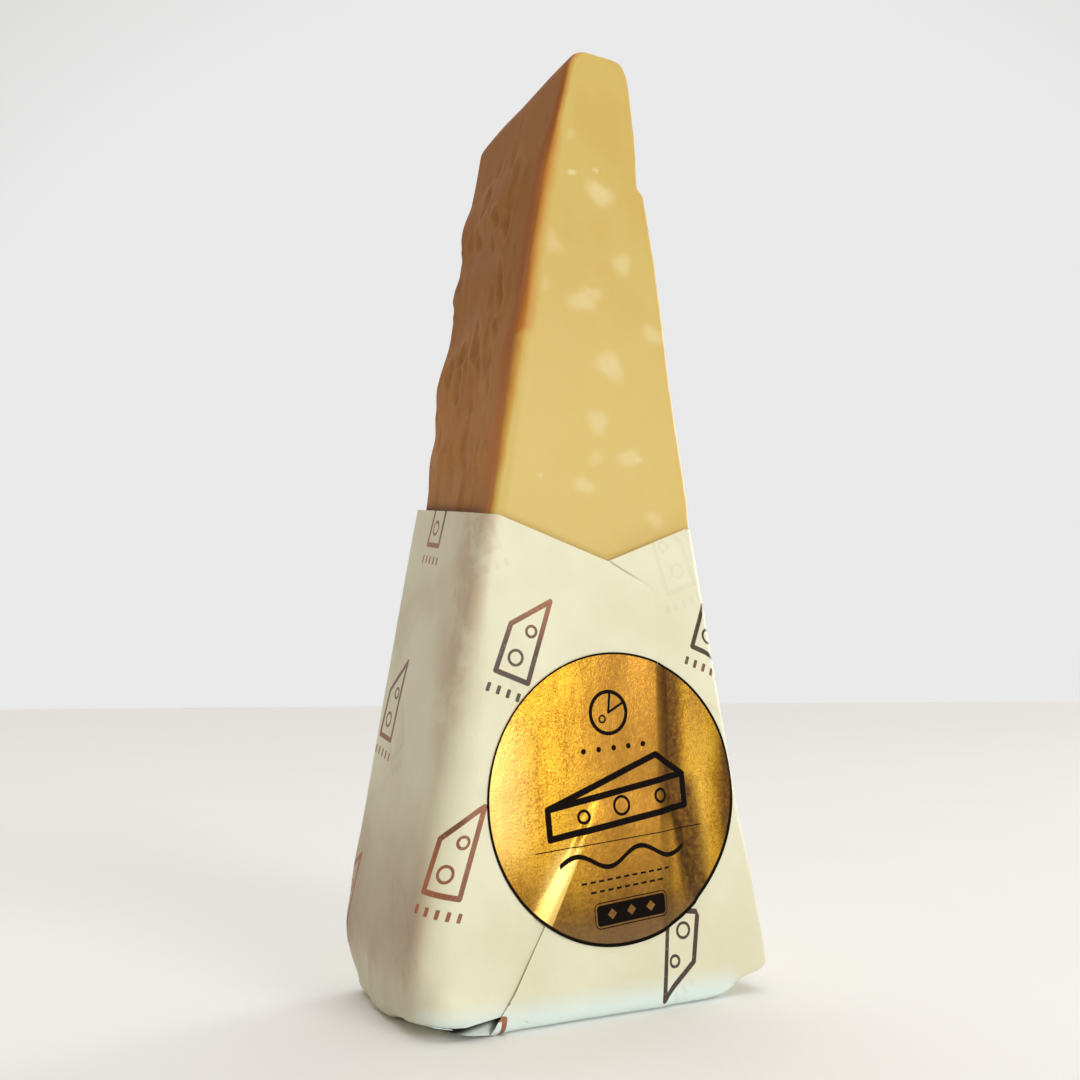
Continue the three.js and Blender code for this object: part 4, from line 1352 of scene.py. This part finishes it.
def make_camera():
    turn, pitch, roll = (math.radians(a) for a in (CAMERA_TURN, CAMERA_PITCH, CAMERA_ROLL))
    ahead = Vector((math.sin(turn) * math.cos(pitch), math.cos(turn) * math.cos(pitch), math.sin(pitch)))
    flat = Vector((math.cos(turn), -math.sin(turn), 0))
    upright = flat.cross(ahead)
    right = flat * math.cos(roll) + upright * math.sin(roll)
    up = upright * math.cos(roll) - flat * math.sin(roll)
    data = bpy.data.cameras.new("camera")
    data.sensor_width = SENSOR
    data.lens = CAMERA_LENS
    data.clip_start = NEAR_CLIP
    camera = bpy.data.objects.new("camera", data)
    axes = Matrix((right, up, -ahead)).transposed().to_4x4()
    camera.matrix_world = Matrix.Translation(Vector(CAMERA_AT) * MM) @ axes
    bpy.context.scene.camera = put(camera)


def make_floor(material):
    ring = np.linspace(0, 2 * math.pi, FLOOR_CORNERS + 1)[:-1]
    radii = np.array(FLOOR_RINGS)[:, None]
    x, y = radii * np.cos(ring), radii * np.sin(ring)
    points = stack(x, y, 0 * x).reshape(-1, 3)
    index = np.arange(len(points)).reshape(x.shape)
    walls = ring_quads(index)[:, ::-1]
    half = len(ring) // 2
    k = np.arange(half - 1)
    middle = stack(k, k + 1, len(ring) - 2 - k, len(ring) - 1 - k)
    floor = build_mesh("floor", points, join(walls, middle))
    floor.data.materials.append(material)


def add_light(name, kind, energy, colour, turn, at=(0, 0, 0), **shape):
    """A light at a place in mm, turned by a quaternion."""
    data = bpy.data.lights.new(name, kind)
    data.energy, data.color = energy, colour
    for key, value in shape.items():
        setattr(data, key, value)
    lamp = put(bpy.data.objects.new(name, data))
    lamp.location = Vector(at) * MM
    lamp.rotation_euler = turn.to_euler()


def make_lights():
    turn = ((Vector(KEY_AIM) - Vector(KEY_AT)) * MM).to_track_quat("-Z", "Y")
    width, height = (side * MM for side in KEY_SIZE)
    shape = {"shape": "RECTANGLE", "size": width, "size_y": height}
    add_light("key", "AREA", KEY_POWER, KEY_COLOUR, turn, KEY_AT, **shape)
    for name, towards, strength, spread, colour in DISTANT_LIGHTS:
        turn = Vector(towards).to_track_quat("Z", "Y")
        add_light(name, "SUN", strength, colour, turn, angle=math.radians(spread))


def make_world():
    """A pale studio, brighter behind the object than in front of it."""
    world = bpy.data.worlds.new("studio")
    world.use_nodes = True
    nodes = Nodes(world.node_tree)
    towards = nodes.node("VectorMath", nodes.node("TexCoord").outputs["Generated"], operation="DOT_PRODUCT")
    towards.inputs[1].default_value = STUDIO_BRIGHT_SIDE
    span = nodes.node("MapRange", towards.outputs["Value"], **{"From Min": -1.0})
    colour = nodes.ramp(span.outputs["Result"], STUDIO_STOPS)
    plug(nodes.tree, nodes.tree.nodes["Background"].inputs["Color"], colour)
    bpy.context.scene.world = world


# ---- the scene


def main():
    bpy.context.scene.view_settings.view_transform = "Standard"
    make_camera()
    cheese, paper, foil = cheese_look(), paper_look(), foil_look()
    pieces = (
        (make_cheese(), cheese),
        (make_wrap(), paper),
        (make_base(), paper),
        (make_tuck(), paper),
        (make_flap(), paper),
        (make_seal(), foil),
    )
    for piece, material in pieces:
        piece.data.materials.append(material)
        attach(piece, "root")
    make_floor(floor_look())
    make_lights()
    make_world()


main()
